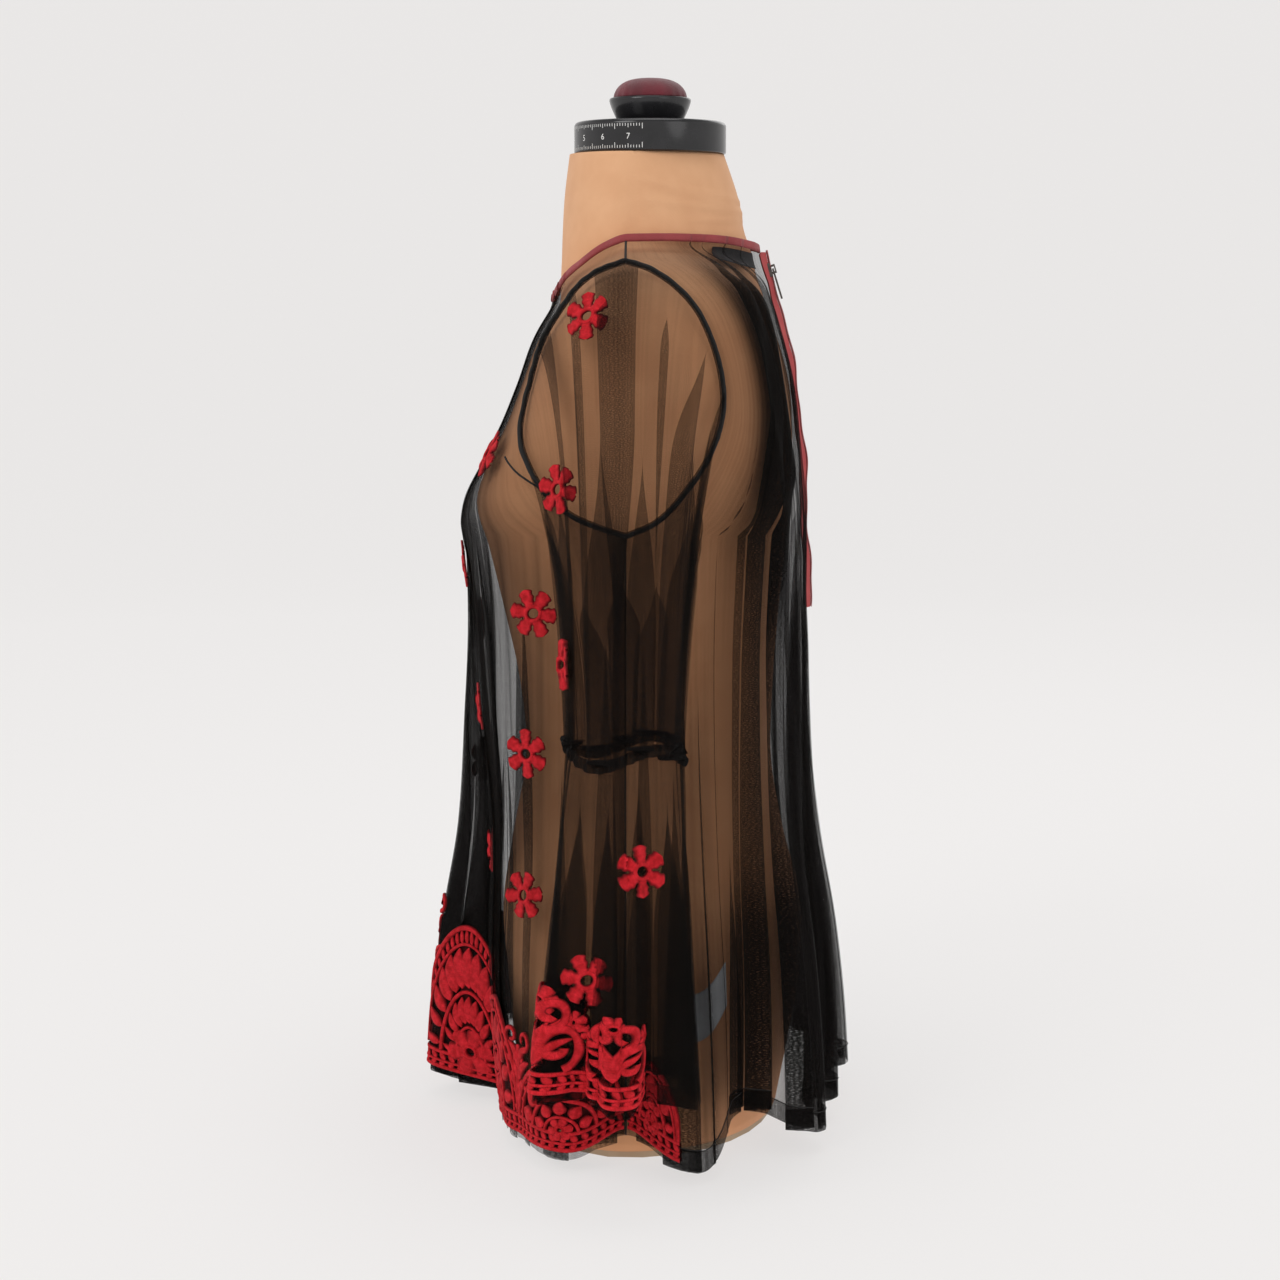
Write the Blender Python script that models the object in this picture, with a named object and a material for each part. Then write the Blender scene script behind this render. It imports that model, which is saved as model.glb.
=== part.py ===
"""Embroidered bell sleeve blouse on a limbless dress form.

Metres, +Z up. The origin is the middle of the form's flat underside. The front
faces -Y and the figure's left side is at +X. The blouse is sheer net, cut as a
front, two backs, two set-in sleeves and two bells, with raised lace on it.
"""

import math

import bmesh
import bpy
import numpy as np
from mathutils import Vector
from mathutils.bvhtree import BVHTree

# Driving sizes
SEAM_GAP = 0.0003
CLOTH_WALL = 0.0015
TRIM_WALL = 0.0016
AXIS_Y = -0.018  # the side seams and shoulder seams stand this far forward
UNDERARM_Z = 0.457
HEM_LEVEL = 0.020
PIN_TOP_Z = 0.790

# Form: height, half width, front, back, squareness of the section
FORM_SECTIONS = (
    (0.0060, 0.164, 0.100, 0.100, 2.1),
    (0.0500, 0.167, 0.106, 0.108, 2.2),
    (0.1100, 0.168, 0.111, 0.117, 2.4),
    (0.1600, 0.160, 0.114, 0.118, 2.5),
    (0.2150, 0.138, 0.106, 0.104, 2.4),
    (0.2750, 0.118, 0.096, 0.094, 2.3),
    (0.3300, 0.122, 0.100, 0.095, 2.3),
    (0.3900, 0.134, 0.112, 0.099, 2.5),
    (0.4400, 0.142, 0.123, 0.103, 3.0),
    (0.4750, 0.149, 0.131, 0.106, 3.5),
    (0.5050, 0.158, 0.121, 0.107, 3.4),
    (0.5320, 0.163, 0.108, 0.107, 3.2),
    (0.5600, 0.165, 0.097, 0.105, 3.1),
    (0.5990, 0.162, 0.081, 0.094, 3.2),
    (0.6180, 0.156, 0.068, 0.086, 3.2),
    (0.6360, 0.146, 0.055, 0.076, 3.0),
    (0.6465, 0.135, 0.044, 0.062, 2.6),
    (0.6535, 0.110, 0.035, 0.050, 2.2),
    (0.6610, 0.075, 0.024, 0.034, 2.0),
    (0.6690, 0.040, 0.022, 0.020, 2.0),
)
FORM_NECK = (
    (0.5900, 0.060, 0.055, 0.070, 2.0),
    (0.6220, 0.070, 0.0665, 0.079, 2.0),
    (0.6600, 0.070, 0.0670, 0.077, 2.0),
    (0.6740, 0.068, 0.0665, 0.072, 2.0),
    (0.7000, 0.062, 0.0650, 0.067, 2.0),
    (0.7330, 0.056, 0.0610, 0.056, 2.0),
)

# Cloth, outer face without its folds, in the same columns
CLOTH_SECTIONS = (
    (0.0000, 0.186, 0.1400, 0.1420, 2.6),
    (0.0800, 0.185, 0.1415, 0.1410, 2.6),
    (0.1390, 0.183, 0.1400, 0.1370, 2.6),
    (0.2160, 0.179, 0.1330, 0.1270, 2.6),
    (0.3160, 0.172, 0.1340, 0.1200, 2.7),
    (0.4000, 0.165, 0.1360, 0.1180, 3.0),
    (0.4400, 0.161, 0.1390, 0.1170, 3.5),
    (0.4570, 0.160, 0.1415, 0.1160, 3.8),
    (0.4750, 0.161, 0.1395, 0.1150, 3.8),
    (0.5050, 0.164, 0.1260, 0.1140, 3.5),
    (0.5320, 0.167, 0.1130, 0.1120, 3.3),
    (0.5600, 0.169, 0.1015, 0.1090, 3.1),
    (0.6000, 0.168, 0.0865, 0.0990, 3.2),
    (0.6220, 0.162, 0.0730, 0.0920, 3.3),
    (0.6400, 0.153, 0.0610, 0.0830, 3.0),
    (0.6510, 0.143, 0.0500, 0.0700, 2.6),
    (0.6580, 0.120, 0.0430, 0.0590, 2.2),
    (0.6660, 0.087, 0.0320, 0.0440, 2.0),
    (0.6740, 0.050, 0.0260, 0.0260, 2.0),
)
CLOTH_NECK = (
    (0.5900, 0.064, 0.0590, 0.0740, 2.0),
    (0.6220, 0.0745, 0.0715, 0.0835, 2.0),
    (0.6600, 0.0745, 0.0715, 0.0825, 2.0),
    (0.6740, 0.0725, 0.0710, 0.0775, 2.0),
)

# Folds of the skirt part: place round the ring, reach at the hem, height where
# the fold starts, height of the hem there. 0 is centre front, 1 the left side
# seam, 2 centre back; minus is the right side. Ridges and troughs alternate.
LEFT_FOLDS = (
    (0.00, 0.033, 0.47, 0.0200),
    (0.20, -0.034, 0.45, 0.0200),
    (0.42, -0.020, 0.44, 0.0190),
    (0.62, -0.010, 0.43, 0.0210),
    (0.84, 0.011, 0.36, 0.0180),
    (1.00, -0.012, 0.40, 0.0270),
    (1.16, 0.036, 0.34, 0.0150),
    (1.33, -0.014, 0.47, 0.0380),
    (1.50, 0.021, 0.52, 0.0170),
    (1.63, -0.012, 0.47, 0.0250),
    (1.76, 0.006, 0.50, 0.0180),
    (1.88, -0.013, 0.42, 0.0260),
    (2.00, 0.016, 0.40, 0.0260),
)
RIGHT_FOLDS = (
    (-2.00, 0.016, 0.40, 0.0260),
    (-1.87, -0.012, 0.44, 0.0250),
    (-1.73, 0.018, 0.48, 0.0190),
    (-1.60, -0.013, 0.50, 0.0260),
    (-1.46, 0.020, 0.46, 0.0170),
    (-1.30, -0.013, 0.44, 0.0300),
    (-1.15, 0.030, 0.34, 0.0160),
    (-1.00, -0.011, 0.38, 0.0260),
    (-0.83, 0.011, 0.36, 0.0180),
    (-0.64, -0.011, 0.42, 0.0220),
    (-0.44, 0.018, 0.45, 0.0180),
    (-0.21, -0.025, 0.44, 0.0240),
)
FOLDS = np.array(RIGHT_FOLDS + LEFT_FOLDS)
FOLD_GROWTH = 1.3
STEPS_PER_FOLD_SIDE = 3
SKIRT_ROWS = 7
ARMHOLE_ROWS = 7
SHOULDER_ROWS = 2
# Rows that end at the shoulder point climb at once onto the shoulder
SHOULDER_RISE = 0.022
SHOULDER_SPREAD = 0.12
QUARTER_LENGTH = 0.24  # about a quarter of the way round the body

# Armhole and neckline: place round the ring, height
ARMHOLE_FRONT = (
    (1.000, 0.457), (0.925, 0.463), (0.850, 0.471), (0.780, 0.484), (0.690, 0.509),
    (0.610, 0.535), (0.580, 0.560), (0.600, 0.593), (0.700, 0.622), (0.840, 0.641),
    (1.000, 0.651),
)
ARMHOLE_BACK = (
    (1.000, 0.457), (1.080, 0.466), (1.165, 0.488), (1.240, 0.517), (1.280, 0.552),
    (1.260, 0.590), (1.190, 0.626), (1.090, 0.645), (1.000, 0.651),
)
NECK_FRONT = ((0.00, 0.622), (0.18, 0.6295), (0.33, 0.641), (0.63, 0.657), (1.00, 0.666))
NECK_BACK = ((1.00, 0.666), (1.30, 0.6665), (1.60, 0.665), (1.80, 0.662), (2.00, 0.659))

# Sleeve and bell
SLEEVE_ROWS = 7
ELBOW_Z = 0.313
ELBOW_CENTRE = (0.221, -0.018)
ELBOW_RADII = (0.035, 0.040)
ELBOW_DIP = 0.006
ELBOW_GAP = 0.0008  # under the band, where sleeve and bell have unlike gathers
BELL_ROWS = 4
BELL_CENTRE = (0.262, -0.023)
BELL_RADII = (0.044, 0.052)
BELL_HEM_Z = 0.082
# Folds of the bell: place round it (0 outside, 0.25 front), reach, hem height
BELL_FOLDS = np.array((
    (0.000, 0.011, -0.003), (0.085, -0.009, 0.004), (0.170, 0.013, 0.001),
    (0.245, -0.007, 0.004), (0.320, 0.010, -0.002), (0.420, -0.003, 0.002),
    (0.500, 0.004, 0.000), (0.580, -0.003, 0.003), (0.680, 0.007, -0.001),
    (0.760, -0.006, 0.004), (0.840, 0.012, -0.003), (0.920, -0.009, 0.003),
    (1.000, 0.011, -0.003),
))

# Bands, binding and labels
ELBOW_BAND_HEIGHT = 0.007
BAND_WALL = 0.0016
BINDING_HEIGHT = 0.006
BINDING_THICK = 0.0026
BINDING_STAND = 1.6  # how far the binding turns up from the way the panel goes
ZIP_BOTTOM_Z = 0.353
ZIP_TAPE_WIDTH = 0.010
ZIP_TEETH_WIDTH = 0.0052
ZIP_TEETH_THICK = 0.0018
TAPE_WALL = 0.0010
# Labels inside the left back: rows of its grid, and places round the ring
CARE_LABEL_ROWS = (1.42, 1.96)
CARE_LABEL_PLACES = (1.16, 1.2167, 1.2733)
NECK_LABEL_DROPS = (0.55, 0.06)
NECK_LABEL_PLACES = (1.60, 1.70, 1.80, 1.90)
NECK_LABEL_DROP_WALL = (0.0006, 0.0004)
CARE_LABEL_DROP_WALL = (0.0009, 0.0005)

# Lace: height and windows of the front border's arches, from the centre out
FRONT_ARCHES = ((0.108, 5), (0.080, 4), (0.050, 3))
WINDOW_HALF_ANGLE = math.radians(7.0)
WINDOW_RINGS = (0.42, 0.66)
LACE_FOOT = 0.011
LACE_LOW = 0.002
LACE_RISE = 0.004  # from the panel's hem to the border's zero line
LACE_MARGIN = 0.004
BELL_ARCHES = ((0.052, 3), (0.042, 3))
BELL_LACE = (0.05, 0.45)  # the part of the bell's hem that has lace

# Flowers: side of the body, place across, height, turn in degrees. "front"
# gives x and is seen from the front; "side" gives y and is seen from the side.
FLOWER_RADIUS = 0.018
FLOWER_WAIST = 0.0112
FLOWER_EYE = 0.0046
PETALS = 6
FRONT_FLOWERS = (
    ("front", 0.104, 0.512, 10), ("side", -0.083, 0.402, 25), ("side", -0.088, 0.300, 5),
    ("side", -0.090, 0.196, 40), ("front", 0.048, 0.318, 15), ("front", 0.046, 0.206, 50),
    ("front", 0.030, 0.425, 0), ("front", -0.098, 0.500, 20), ("front", -0.060, 0.372, 35),
    ("front", -0.034, 0.262, 5), ("side_right", -0.088, 0.318, 15),
    ("side_right", -0.090, 0.210, 30),
)
SLEEVE_FLOWERS = (
    ("side", -0.043, 0.612, 8), ("side", -0.063, 0.493, 20), ("front", 0.222, 0.374, 12),
)
BELL_FLOWERS = (("side", -0.008, 0.240, 0), ("side", -0.044, 0.166, 22))

# Zip slider and its pull
SLIDER_Z = 0.6455
SLIDER_SIZE = (0.0078, 0.0026, 0.0105)
BAIL_SIZE = (0.0022, 0.0042, 0.0070)
BAIL_EYE = (0.0024, 0.0036)
PULL_WIDTH = 0.0058
PULL_LENGTH = 0.0240
PULL_THICK = 0.0012
PULL_EYE = (0.0034, 0.0040)
PULL_BAR = 0.0011

# Cap parts of the form
BOARD_THICK = 0.0057
BOARD_INSET = 0.004
CAP_RADIUS = 0.0575
CAP_Z = (0.7333, 0.757)
CAP_LOW_BEVEL = 0.002
CAP_HIGH_BEVEL = 0.004
COLLAR_RADIUS = 0.031
COLLAR_Z = (0.7573, 0.775)
PIN_RADIUS = 0.0275
PIN_Z = 0.7753
PIN_FULLNESS = 0.7
FORM_SIDES = 32

FINISHES = {
    "net": ((0.012, 0.012, 0.014), 0.75, 0.0),
    "lace": ((0.62, 0.02, 0.03), 0.85, 0.0),
    "binding": ((0.30, 0.045, 0.06), 0.8, 0.0),
    "tape": ((0.42, 0.07, 0.08), 0.85, 0.0),
    "metal": ((0.18, 0.16, 0.15), 0.35, 1.0),
    "teeth": ((0.36, 0.06, 0.07), 0.45, 0.0),
    "cover": ((0.78, 0.55, 0.38), 0.9, 0.0),
    "black_plastic": ((0.012, 0.012, 0.012), 0.25, 0.0),
    "pin_cloth": ((0.20, 0.01, 0.03), 0.85, 0.0),
    "black_label": ((0.010, 0.010, 0.012), 0.7, 0.0),
    "white_label": ((0.75, 0.76, 0.78), 0.7, 0.0),
    "board": ((0.45, 0.33, 0.22), 0.7, 0.0),
}


# Tables and sections

def smooth_table(rows, at, column):
    """A column of a table at the heights given, on a smooth curve through its rows."""
    data = np.asarray(rows)
    x, y = data[:, 0], data[:, column]
    slope = np.gradient(y, x)
    at = np.clip(at, x[0], x[-1])
    i = np.clip(np.searchsorted(x, at, side="right") - 1, 0, len(x) - 2)
    step = x[i + 1] - x[i]
    t = (at - x[i]) / step
    t2, t3 = t * t, t * t * t
    return (
        (2 * t3 - 3 * t2 + 1) * y[i]
        + (t3 - 2 * t2 + t) * step * slope[i]
        + (3 * t2 - 2 * t3) * y[i + 1]
        + (t3 - t2) * step * slope[i + 1]
    )


def reach(angle, z, sections):
    """How far one section stands from the axis, by angle from the front."""
    width, front, back, square = (smooth_table(sections, z, c) for c in (1, 2, 3, 4))
    depth = np.where(np.cos(angle) > 0, front + AXIS_Y, back - AXIS_Y)
    across, along = np.abs(np.sin(angle)) / width, np.abs(np.cos(angle)) / depth
    return (across**square + along**square) ** (-1 / square)


BLEND_POWER = 14
CURVE_STEPS = 40


def half_section(z, sections, neck):
    """The left half of a section: its points from front to back."""
    angle = np.linspace(0, math.pi, 2 * CURVE_STEPS + 1)
    far = reach(angle, z, sections)
    if z > neck[0][0]:
        near = reach(angle, z, neck)
        if z > sections[-1][0]:
            far = near
        else:
            far = (far**BLEND_POWER + near**BLEND_POWER) ** (1 / BLEND_POWER)
    return np.stack((far * np.sin(angle), AXIS_Y - far * np.cos(angle)), 1)


SECTION_CACHE = {}


def cloth_section(z):
    """Points, outward directions and place numbers of the cloth's left half at a height."""
    key = round(float(z), 7)
    if key not in SECTION_CACHE:
        points = half_section(key, CLOTH_SECTIONS, CLOTH_NECK)
        step = np.linalg.norm(np.diff(points, axis=0), axis=1)
        length = np.concatenate(((0,), np.cumsum(step)))
        side = length[CURVE_STEPS]
        place = np.where(length <= side, length / side, 1 + (length - side) / (length[-1] - side))
        along = np.gradient(points, axis=0)
        along[0], along[-1] = (1, 0), (-1, 0)
        out = np.stack((along[:, 1], -along[:, 0]), 1)
        out /= np.linalg.norm(out, axis=1)[:, None]
        SECTION_CACHE[key] = (points, out, place)
    return SECTION_CACHE[key]


def fold_columns(place):
    """The fold rows either side of a place, and how far it is between them."""
    found = np.searchsorted(FOLDS[:, 0], place, side="right") - 1
    i = int(np.clip(found, 0, len(FOLDS) - 2))
    t = (place - FOLDS[i, 0]) / (FOLDS[i + 1, 0] - FOLDS[i, 0])
    return FOLDS[i], FOLDS[i + 1], 0.5 - 0.5 * math.cos(math.pi * min(max(t, 0), 1))


def fold_reach(place, z):
    """How far the folds move the cloth out at a place and height."""
    here, there, share = fold_columns(place)

    def grown(row):
        part = min(max((row[2] - z) / (row[2] - HEM_LEVEL), 0), 1.05)
        return row[1] * part**FOLD_GROWTH

    return grown(here) * (1 - share) + grown(there) * share


def hem_height(place):
    here, there, share = fold_columns(place)
    return here[3] * (1 - share) + there[3] * share


def body_point(place, z):
    """A point of the blouse's outer face."""
    if abs(place) > 2:
        place -= math.copysign(4, place)
    points, out, places = cloth_section(z)
    a = abs(place)
    xy = np.array([np.interp(a, places, points[:, k]) for k in (0, 1)])
    away = np.array([np.interp(a, places, out[:, k]) for k in (0, 1)])
    xy = xy + away * fold_reach(place, z)
    return np.array((math.copysign(xy[0], place) if place else xy[0], xy[1], z))


def body_normal(place, z):
    """The outward direction there, the same on both sides of a seam."""
    across, rise = 0.01, 0.002
    along = body_point(place + across, z) - body_point(place - across, z)
    up = body_point(place, z + rise) - body_point(place, z - rise)
    normal = np.cross(along, up)
    if abs(abs(place) - 2) < across:
        normal[0] = 0
    return normal / np.linalg.norm(normal)


# Solids from points

def finish(name):
    """One Principled material by its name."""
    found = bpy.data.materials.get(name)
    if found:
        return found
    colour, rough, metal = FINISHES[name]
    made = bpy.data.materials.new(name)
    made.use_nodes = True
    made.diffuse_color = (*colour, 1.0)
    shader = made.node_tree.nodes["Principled BSDF"]
    shader.inputs["Base Color"].default_value = (*colour, 1.0)
    shader.inputs["Roughness"].default_value = rough
    shader.inputs["Metallic"].default_value = metal
    return made


def add_object(name, points, faces, material):
    """A mesh object from points and faces, its faces turned outward."""
    mesh = bpy.data.meshes.new(name)
    mesh.from_pydata([tuple(float(v) for v in p) for p in points], [], faces)
    mesh.validate()
    work = bmesh.new()
    work.from_mesh(mesh)
    if work.calc_volume(signed=True) < 0:
        bmesh.ops.reverse_faces(work, faces=work.faces)
    work.to_mesh(mesh)
    work.free()
    mesh.materials.append(finish(material))
    item = bpy.data.objects.new(name, mesh)
    bpy.context.collection.objects.link(item)
    return item


def plate(name, faces, outer, inner, material):
    """A closed solid between two copies of one sheet of triangles."""
    count = len(outer)
    directed = {(f[k], f[(k + 1) % 3]) for f in faces for k in range(3)}
    rim = [(a, b) for a, b in directed if (b, a) not in directed]
    rim.sort()
    closed = [tuple(f) for f in faces]
    closed += [(f[2] + count, f[1] + count, f[0] + count) for f in faces]
    for a, b in rim:
        closed += [(b, a, a + count), (b, a + count, b + count)]
    return add_object(name, list(outer) + list(inner), closed, material)


def grid_faces(rows, columns, around=False):
    """Triangles of a grid whose points are numbered row by row."""
    faces = []
    for r in range(rows - 1):
        for c in range(columns if around else columns - 1):
            d = (c + 1) % columns
            low_a, low_b = r * columns + c, r * columns + d
            top_a, top_b = low_a + columns, low_b + columns
            faces += [(low_a, low_b, top_b), (low_a, top_b, top_a)]
    return faces


def grid_normals(grid, around=False):
    """Outward directions at a grid's points, from its neighbours."""
    if around:
        across = np.roll(grid, -1, 1) - np.roll(grid, 1, 1)
    else:
        across = np.gradient(grid, axis=1)
    up = np.gradient(grid, axis=0)
    normal = np.cross(across, up)
    return normal / np.linalg.norm(normal, axis=2)[:, :, None]


def grid_wall(name, grid, normal, wall, material, around=False):
    """A wall whose outer face is the grid."""
    rows, columns = grid.shape[:2]
    faces = grid_faces(rows, columns, around)
    inner = grid - normal * wall
    return plate(name, faces, grid.reshape(-1, 3), inner.reshape(-1, 3), material)


def grid_value(grid, row, column):
    """A point on the flat triangles of a grid, by row and column number."""
    r = int(min(max(math.floor(row), 0), grid.shape[0] - 2))
    c = int(min(max(math.floor(column), 0), grid.shape[1] - 2))
    v, u = row - r, column - c
    a, b = grid[r, c], grid[r, c + 1]
    top_b, top_a = grid[r + 1, c + 1], grid[r + 1, c]
    if u >= v:
        return a + (b - a) * u + (top_b - b) * v
    return a + (top_b - top_a) * u + (top_a - a) * v


def outer_tree(grid, around=False):
    rows, columns = grid.shape[:2]
    points = [tuple(p) for p in grid.reshape(-1, 3)]
    return BVHTree.FromPolygons(points, grid_faces(rows, columns, around))


# Blouse body

def table_path(rows, t):
    """A point on a table of points, by its share of the whole length."""
    data = np.asarray(rows, dtype=float)
    scaled = data * (QUARTER_LENGTH, 1.0)
    length = np.concatenate(((0,), np.cumsum(np.linalg.norm(np.diff(scaled, axis=0), axis=1))))
    at = t * length[-1]
    return np.array([np.interp(at, length, data[:, k]) for k in (0, 1)])


def quarter_top(places, armhole, neckline, centre, side_first):
    """Grid of places and heights from the underarm up to the neck and shoulder."""
    rows = ARMHOLE_ROWS + SHOULDER_ROWS
    split = ARMHOLE_ROWS / rows
    shoulder = np.array(armhole[-1])
    neck = np.asarray(neckline)
    corner = neck[0] if side_first else neck[-1]
    centre_top = neck[-1, 1] if side_first else neck[0, 1]
    grid = []
    for r in range(1, rows + 1):
        v = r / rows
        if v <= split + 1e-9:
            side = table_path(armhole, v / split)
        else:
            side = shoulder + (corner - shoulder) * (v - split) / (1 - split)
        middle = np.array((centre, UNDERARM_Z + (centre_top - UNDERARM_Z) * v))
        line = []
        for place in places:
            u = abs(place - centre)
            bottom = np.array((place, UNDERARM_Z))
            top = np.array((place, np.interp(place, neck[:, 0], neck[:, 1])))
            side_low, middle_low = np.array((1.0, UNDERARM_Z)), np.array((centre, UNDERARM_Z))
            middle_top = np.array((centre, centre_top))
            sheet = (1 - v) * bottom + v * top + (1 - u) * middle + u * side
            sheet -= (1 - u) * ((1 - v) * middle_low + v * middle_top)
            sheet -= u * ((1 - v) * side_low + v * corner)
            near = math.exp(-(((v - split) / SHOULDER_SPREAD) ** 2))
            sheet[1] += SHOULDER_RISE * math.sqrt(max(1 - u, 0)) * u**3 * near
            line.append(sheet)
        grid.append(line)
    return np.array(grid)


def fold_places(first, last):
    """Places of the columns between two seams, each fold side cut in equal steps."""
    marks = [p for p in FOLDS[:, 0] if first - 1e-9 <= p <= last + 1e-9]
    places = []
    for a, b in zip(marks, marks[1:]):
        places += [a + (b - a) * k / STEPS_PER_FOLD_SIDE for k in range(STEPS_PER_FOLD_SIDE)]
    return np.array(places + [marks[-1]])


def body_grid(first, last):
    """Outer points of a body panel from the hem up, and its column places."""
    places = fold_places(first, last)
    trim = SEAM_GAP / 2 / QUARTER_LENGTH
    places[0] += trim
    places[-1] -= trim
    lines = []
    for r in range(SKIRT_ROWS + 1):
        v = r / SKIRT_ROWS
        lines.append([(p, hem_height(p) * (1 - v) + UNDERARM_Z * v) for p in places])
    tops = []
    for low, high in ((-2, -1), (-1, 0), (0, 1), (1, 2)):
        mine = [p for p in places if low < p < high or (p == 0 and high == 0)]
        if not mine:
            continue
        back = abs(low + high) == 3
        mirrored = [abs(p) for p in mine]
        part = quarter_top(
            mirrored,
            ARMHOLE_BACK if back else ARMHOLE_FRONT,
            NECK_BACK if back else NECK_FRONT,
            2.0 if back else 0.0,
            back,
        )
        part[:, :, 0] *= -1 if low < 0 else 1
        tops.append(part)
    lines += list(np.concatenate(tops, axis=1))
    grid = np.array([[body_point(p, z) for p, z in line] for line in lines])
    normal = np.array([[body_normal(p, z) for p, z in line] for line in lines])
    return grid, normal, places


def build_body():
    """Front and back panels; gives their grids for what is sewn to them."""
    panels = {}
    for name, first, last in (
        ("front_panel", -1.0, 1.0), ("back_left", 1.0, 2.0), ("back_right", -2.0, -1.0),
    ):
        grid, normal, places = body_grid(first, last)
        grid_wall(name, grid, normal, CLOTH_WALL, "net")
        panels[name] = (grid, normal, places)
    return panels


# Sleeves

def armhole_loop(panels, side):
    """The armhole seam as a loop from the shoulder, forward and down, then up the back."""
    front, front_normal, _ = panels["front_panel"]
    back, back_normal, _ = panels["back_left" if side > 0 else "back_right"]
    rows = range(SKIRT_ROWS + ARMHOLE_ROWS, SKIRT_ROWS - 1, -1)
    front_column, back_column = (-1, 0) if side > 0 else (0, -1)
    seam = [(front[r, front_column], front_normal[r, front_column]) for r in rows]
    seam += [(back[r, back_column], back_normal[r, back_column]) for r in reversed(rows)][1:-1]
    points = np.array([p for p, _ in seam])
    away = np.array([n for _, n in seam])
    count = len(points)
    fine = []
    for i in range(count):
        j = (i + 1) % count
        fine.append((points[i], away[i]))
        fine.append(((points[i] + points[j]) / 2, away[i] + away[j]))
    points = np.array([p for p, _ in fine])
    away = np.array([n / np.linalg.norm(n) for _, n in fine])
    away[:, 0] += 0.6 * side
    away /= np.linalg.norm(away, axis=1)[:, None]
    return points + away * (SEAM_GAP + CLOTH_WALL * 1.6), away


def ring_loop(count, centre, radii, side):
    """A loop round a sleeve, in the armhole loop's order, seen from above."""
    turn = 2 * math.pi * np.arange(count) / count
    x = side * (centre[0] + radii[0] * np.cos(turn))
    return np.stack((x, centre[1] - radii[1] * np.sin(turn)), 1)


def sleeve_grid(panels, side):
    """Outer points of a sleeve, from the elbow up to the armhole, and its directions there."""
    start, away = armhole_loop(panels, side)
    count = len(start)
    end = ring_loop(count, ELBOW_CENTRE, ELBOW_RADII, side)
    turn = 2 * math.pi * np.arange(count) / count
    over = (1 + np.cos(turn)) / 2
    end_z = ELBOW_Z - ELBOW_DIP * np.sin(3 * turn)
    grid = []
    for r in range(SLEEVE_ROWS, -1, -1):
        v = r / SLEEVE_ROWS
        fall = v ** (1 + 0.6 * over)
        out = 1 - (1 - v) ** (1 + 0.9 * over)
        along = 1 - (1 - v) ** 1.8
        x = start[:, 0] + (end[:, 0] - start[:, 0]) * out
        y = start[:, 1] + (end[:, 1] - start[:, 1]) * along
        z = start[:, 2] + (end_z - start[:, 2]) * fall
        grid.append(np.stack((x, y, z), 1))
    return np.array(grid), away


def bell_fold(place, column):
    found = np.searchsorted(BELL_FOLDS[:, 0], place, side="right") - 1
    i = int(np.clip(found, 0, len(BELL_FOLDS) - 2))
    a, b = BELL_FOLDS[i], BELL_FOLDS[i + 1]
    share = 0.5 - 0.5 * math.cos(math.pi * (place - a[0]) / (b[0] - a[0]))
    return a[column] * (1 - share) + b[column] * share


def bell_grid(side):
    """Outer points of a bell, from its hem up to the elbow seam."""
    marks = BELL_FOLDS[:, 0]
    places = []
    for a, b in zip(marks, marks[1:]):
        places += [a + (b - a) * k / STEPS_PER_FOLD_SIDE for k in range(STEPS_PER_FOLD_SIDE)]
    turn = 2 * math.pi * np.array(places)
    grid = []
    for r in range(BELL_ROWS + 1):
        v = 1 - r / BELL_ROWS
        spread = v**0.85
        cx = ELBOW_CENTRE[0] + (BELL_CENTRE[0] - ELBOW_CENTRE[0]) * spread
        cy = ELBOW_CENTRE[1] + (BELL_CENTRE[1] - ELBOW_CENTRE[1]) * spread
        rx = ELBOW_RADII[0] + (BELL_RADII[0] - ELBOW_RADII[0]) * spread
        ry = ELBOW_RADII[1] + (BELL_RADII[1] - ELBOW_RADII[1]) * spread
        line = []
        for t, place in zip(turn, places):
            out = bell_fold(place, 1) * v**1.1
            top = ELBOW_Z - ELBOW_DIP * math.sin(3 * t) - ELBOW_GAP
            low = BELL_HEM_Z + bell_fold(place, 2)
            x = side * (cx + (rx + out) * math.cos(t))
            line.append((x, cy - (ry + out) * math.sin(t), top + (low - top) * v))
        grid.append(line)
    return np.array(grid)


def band_grid(sleeve, bell, side):
    """Outer points of the gathered band, which follows the sleeve above and the bell below."""
    count = sleeve.shape[1]
    lift = SEAM_GAP * 2 + BAND_WALL
    share = ELBOW_BAND_HEIGHT / 2 / ((ELBOW_Z - BELL_HEM_Z) / BELL_ROWS)
    closed = np.concatenate((bell, bell[:, :1]), axis=1)
    columns = np.arange(count) * bell.shape[1] / count
    low = np.array([grid_value(closed, BELL_ROWS - share, c) for c in columns])
    rise = sleeve[1] - sleeve[0]
    high = sleeve[0] + rise * (ELBOW_BAND_HEIGHT / 2 / rise[:, 2:])
    seam = sleeve[0]
    grid = np.array((low, seam, high))
    return grid - grid_normals(grid, around=True) * side * lift


def outward(grid, side):
    """A ring grid in the order that turns its normals out, which the left side reverses."""
    return grid[:, ::-1] if side > 0 else grid


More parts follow.
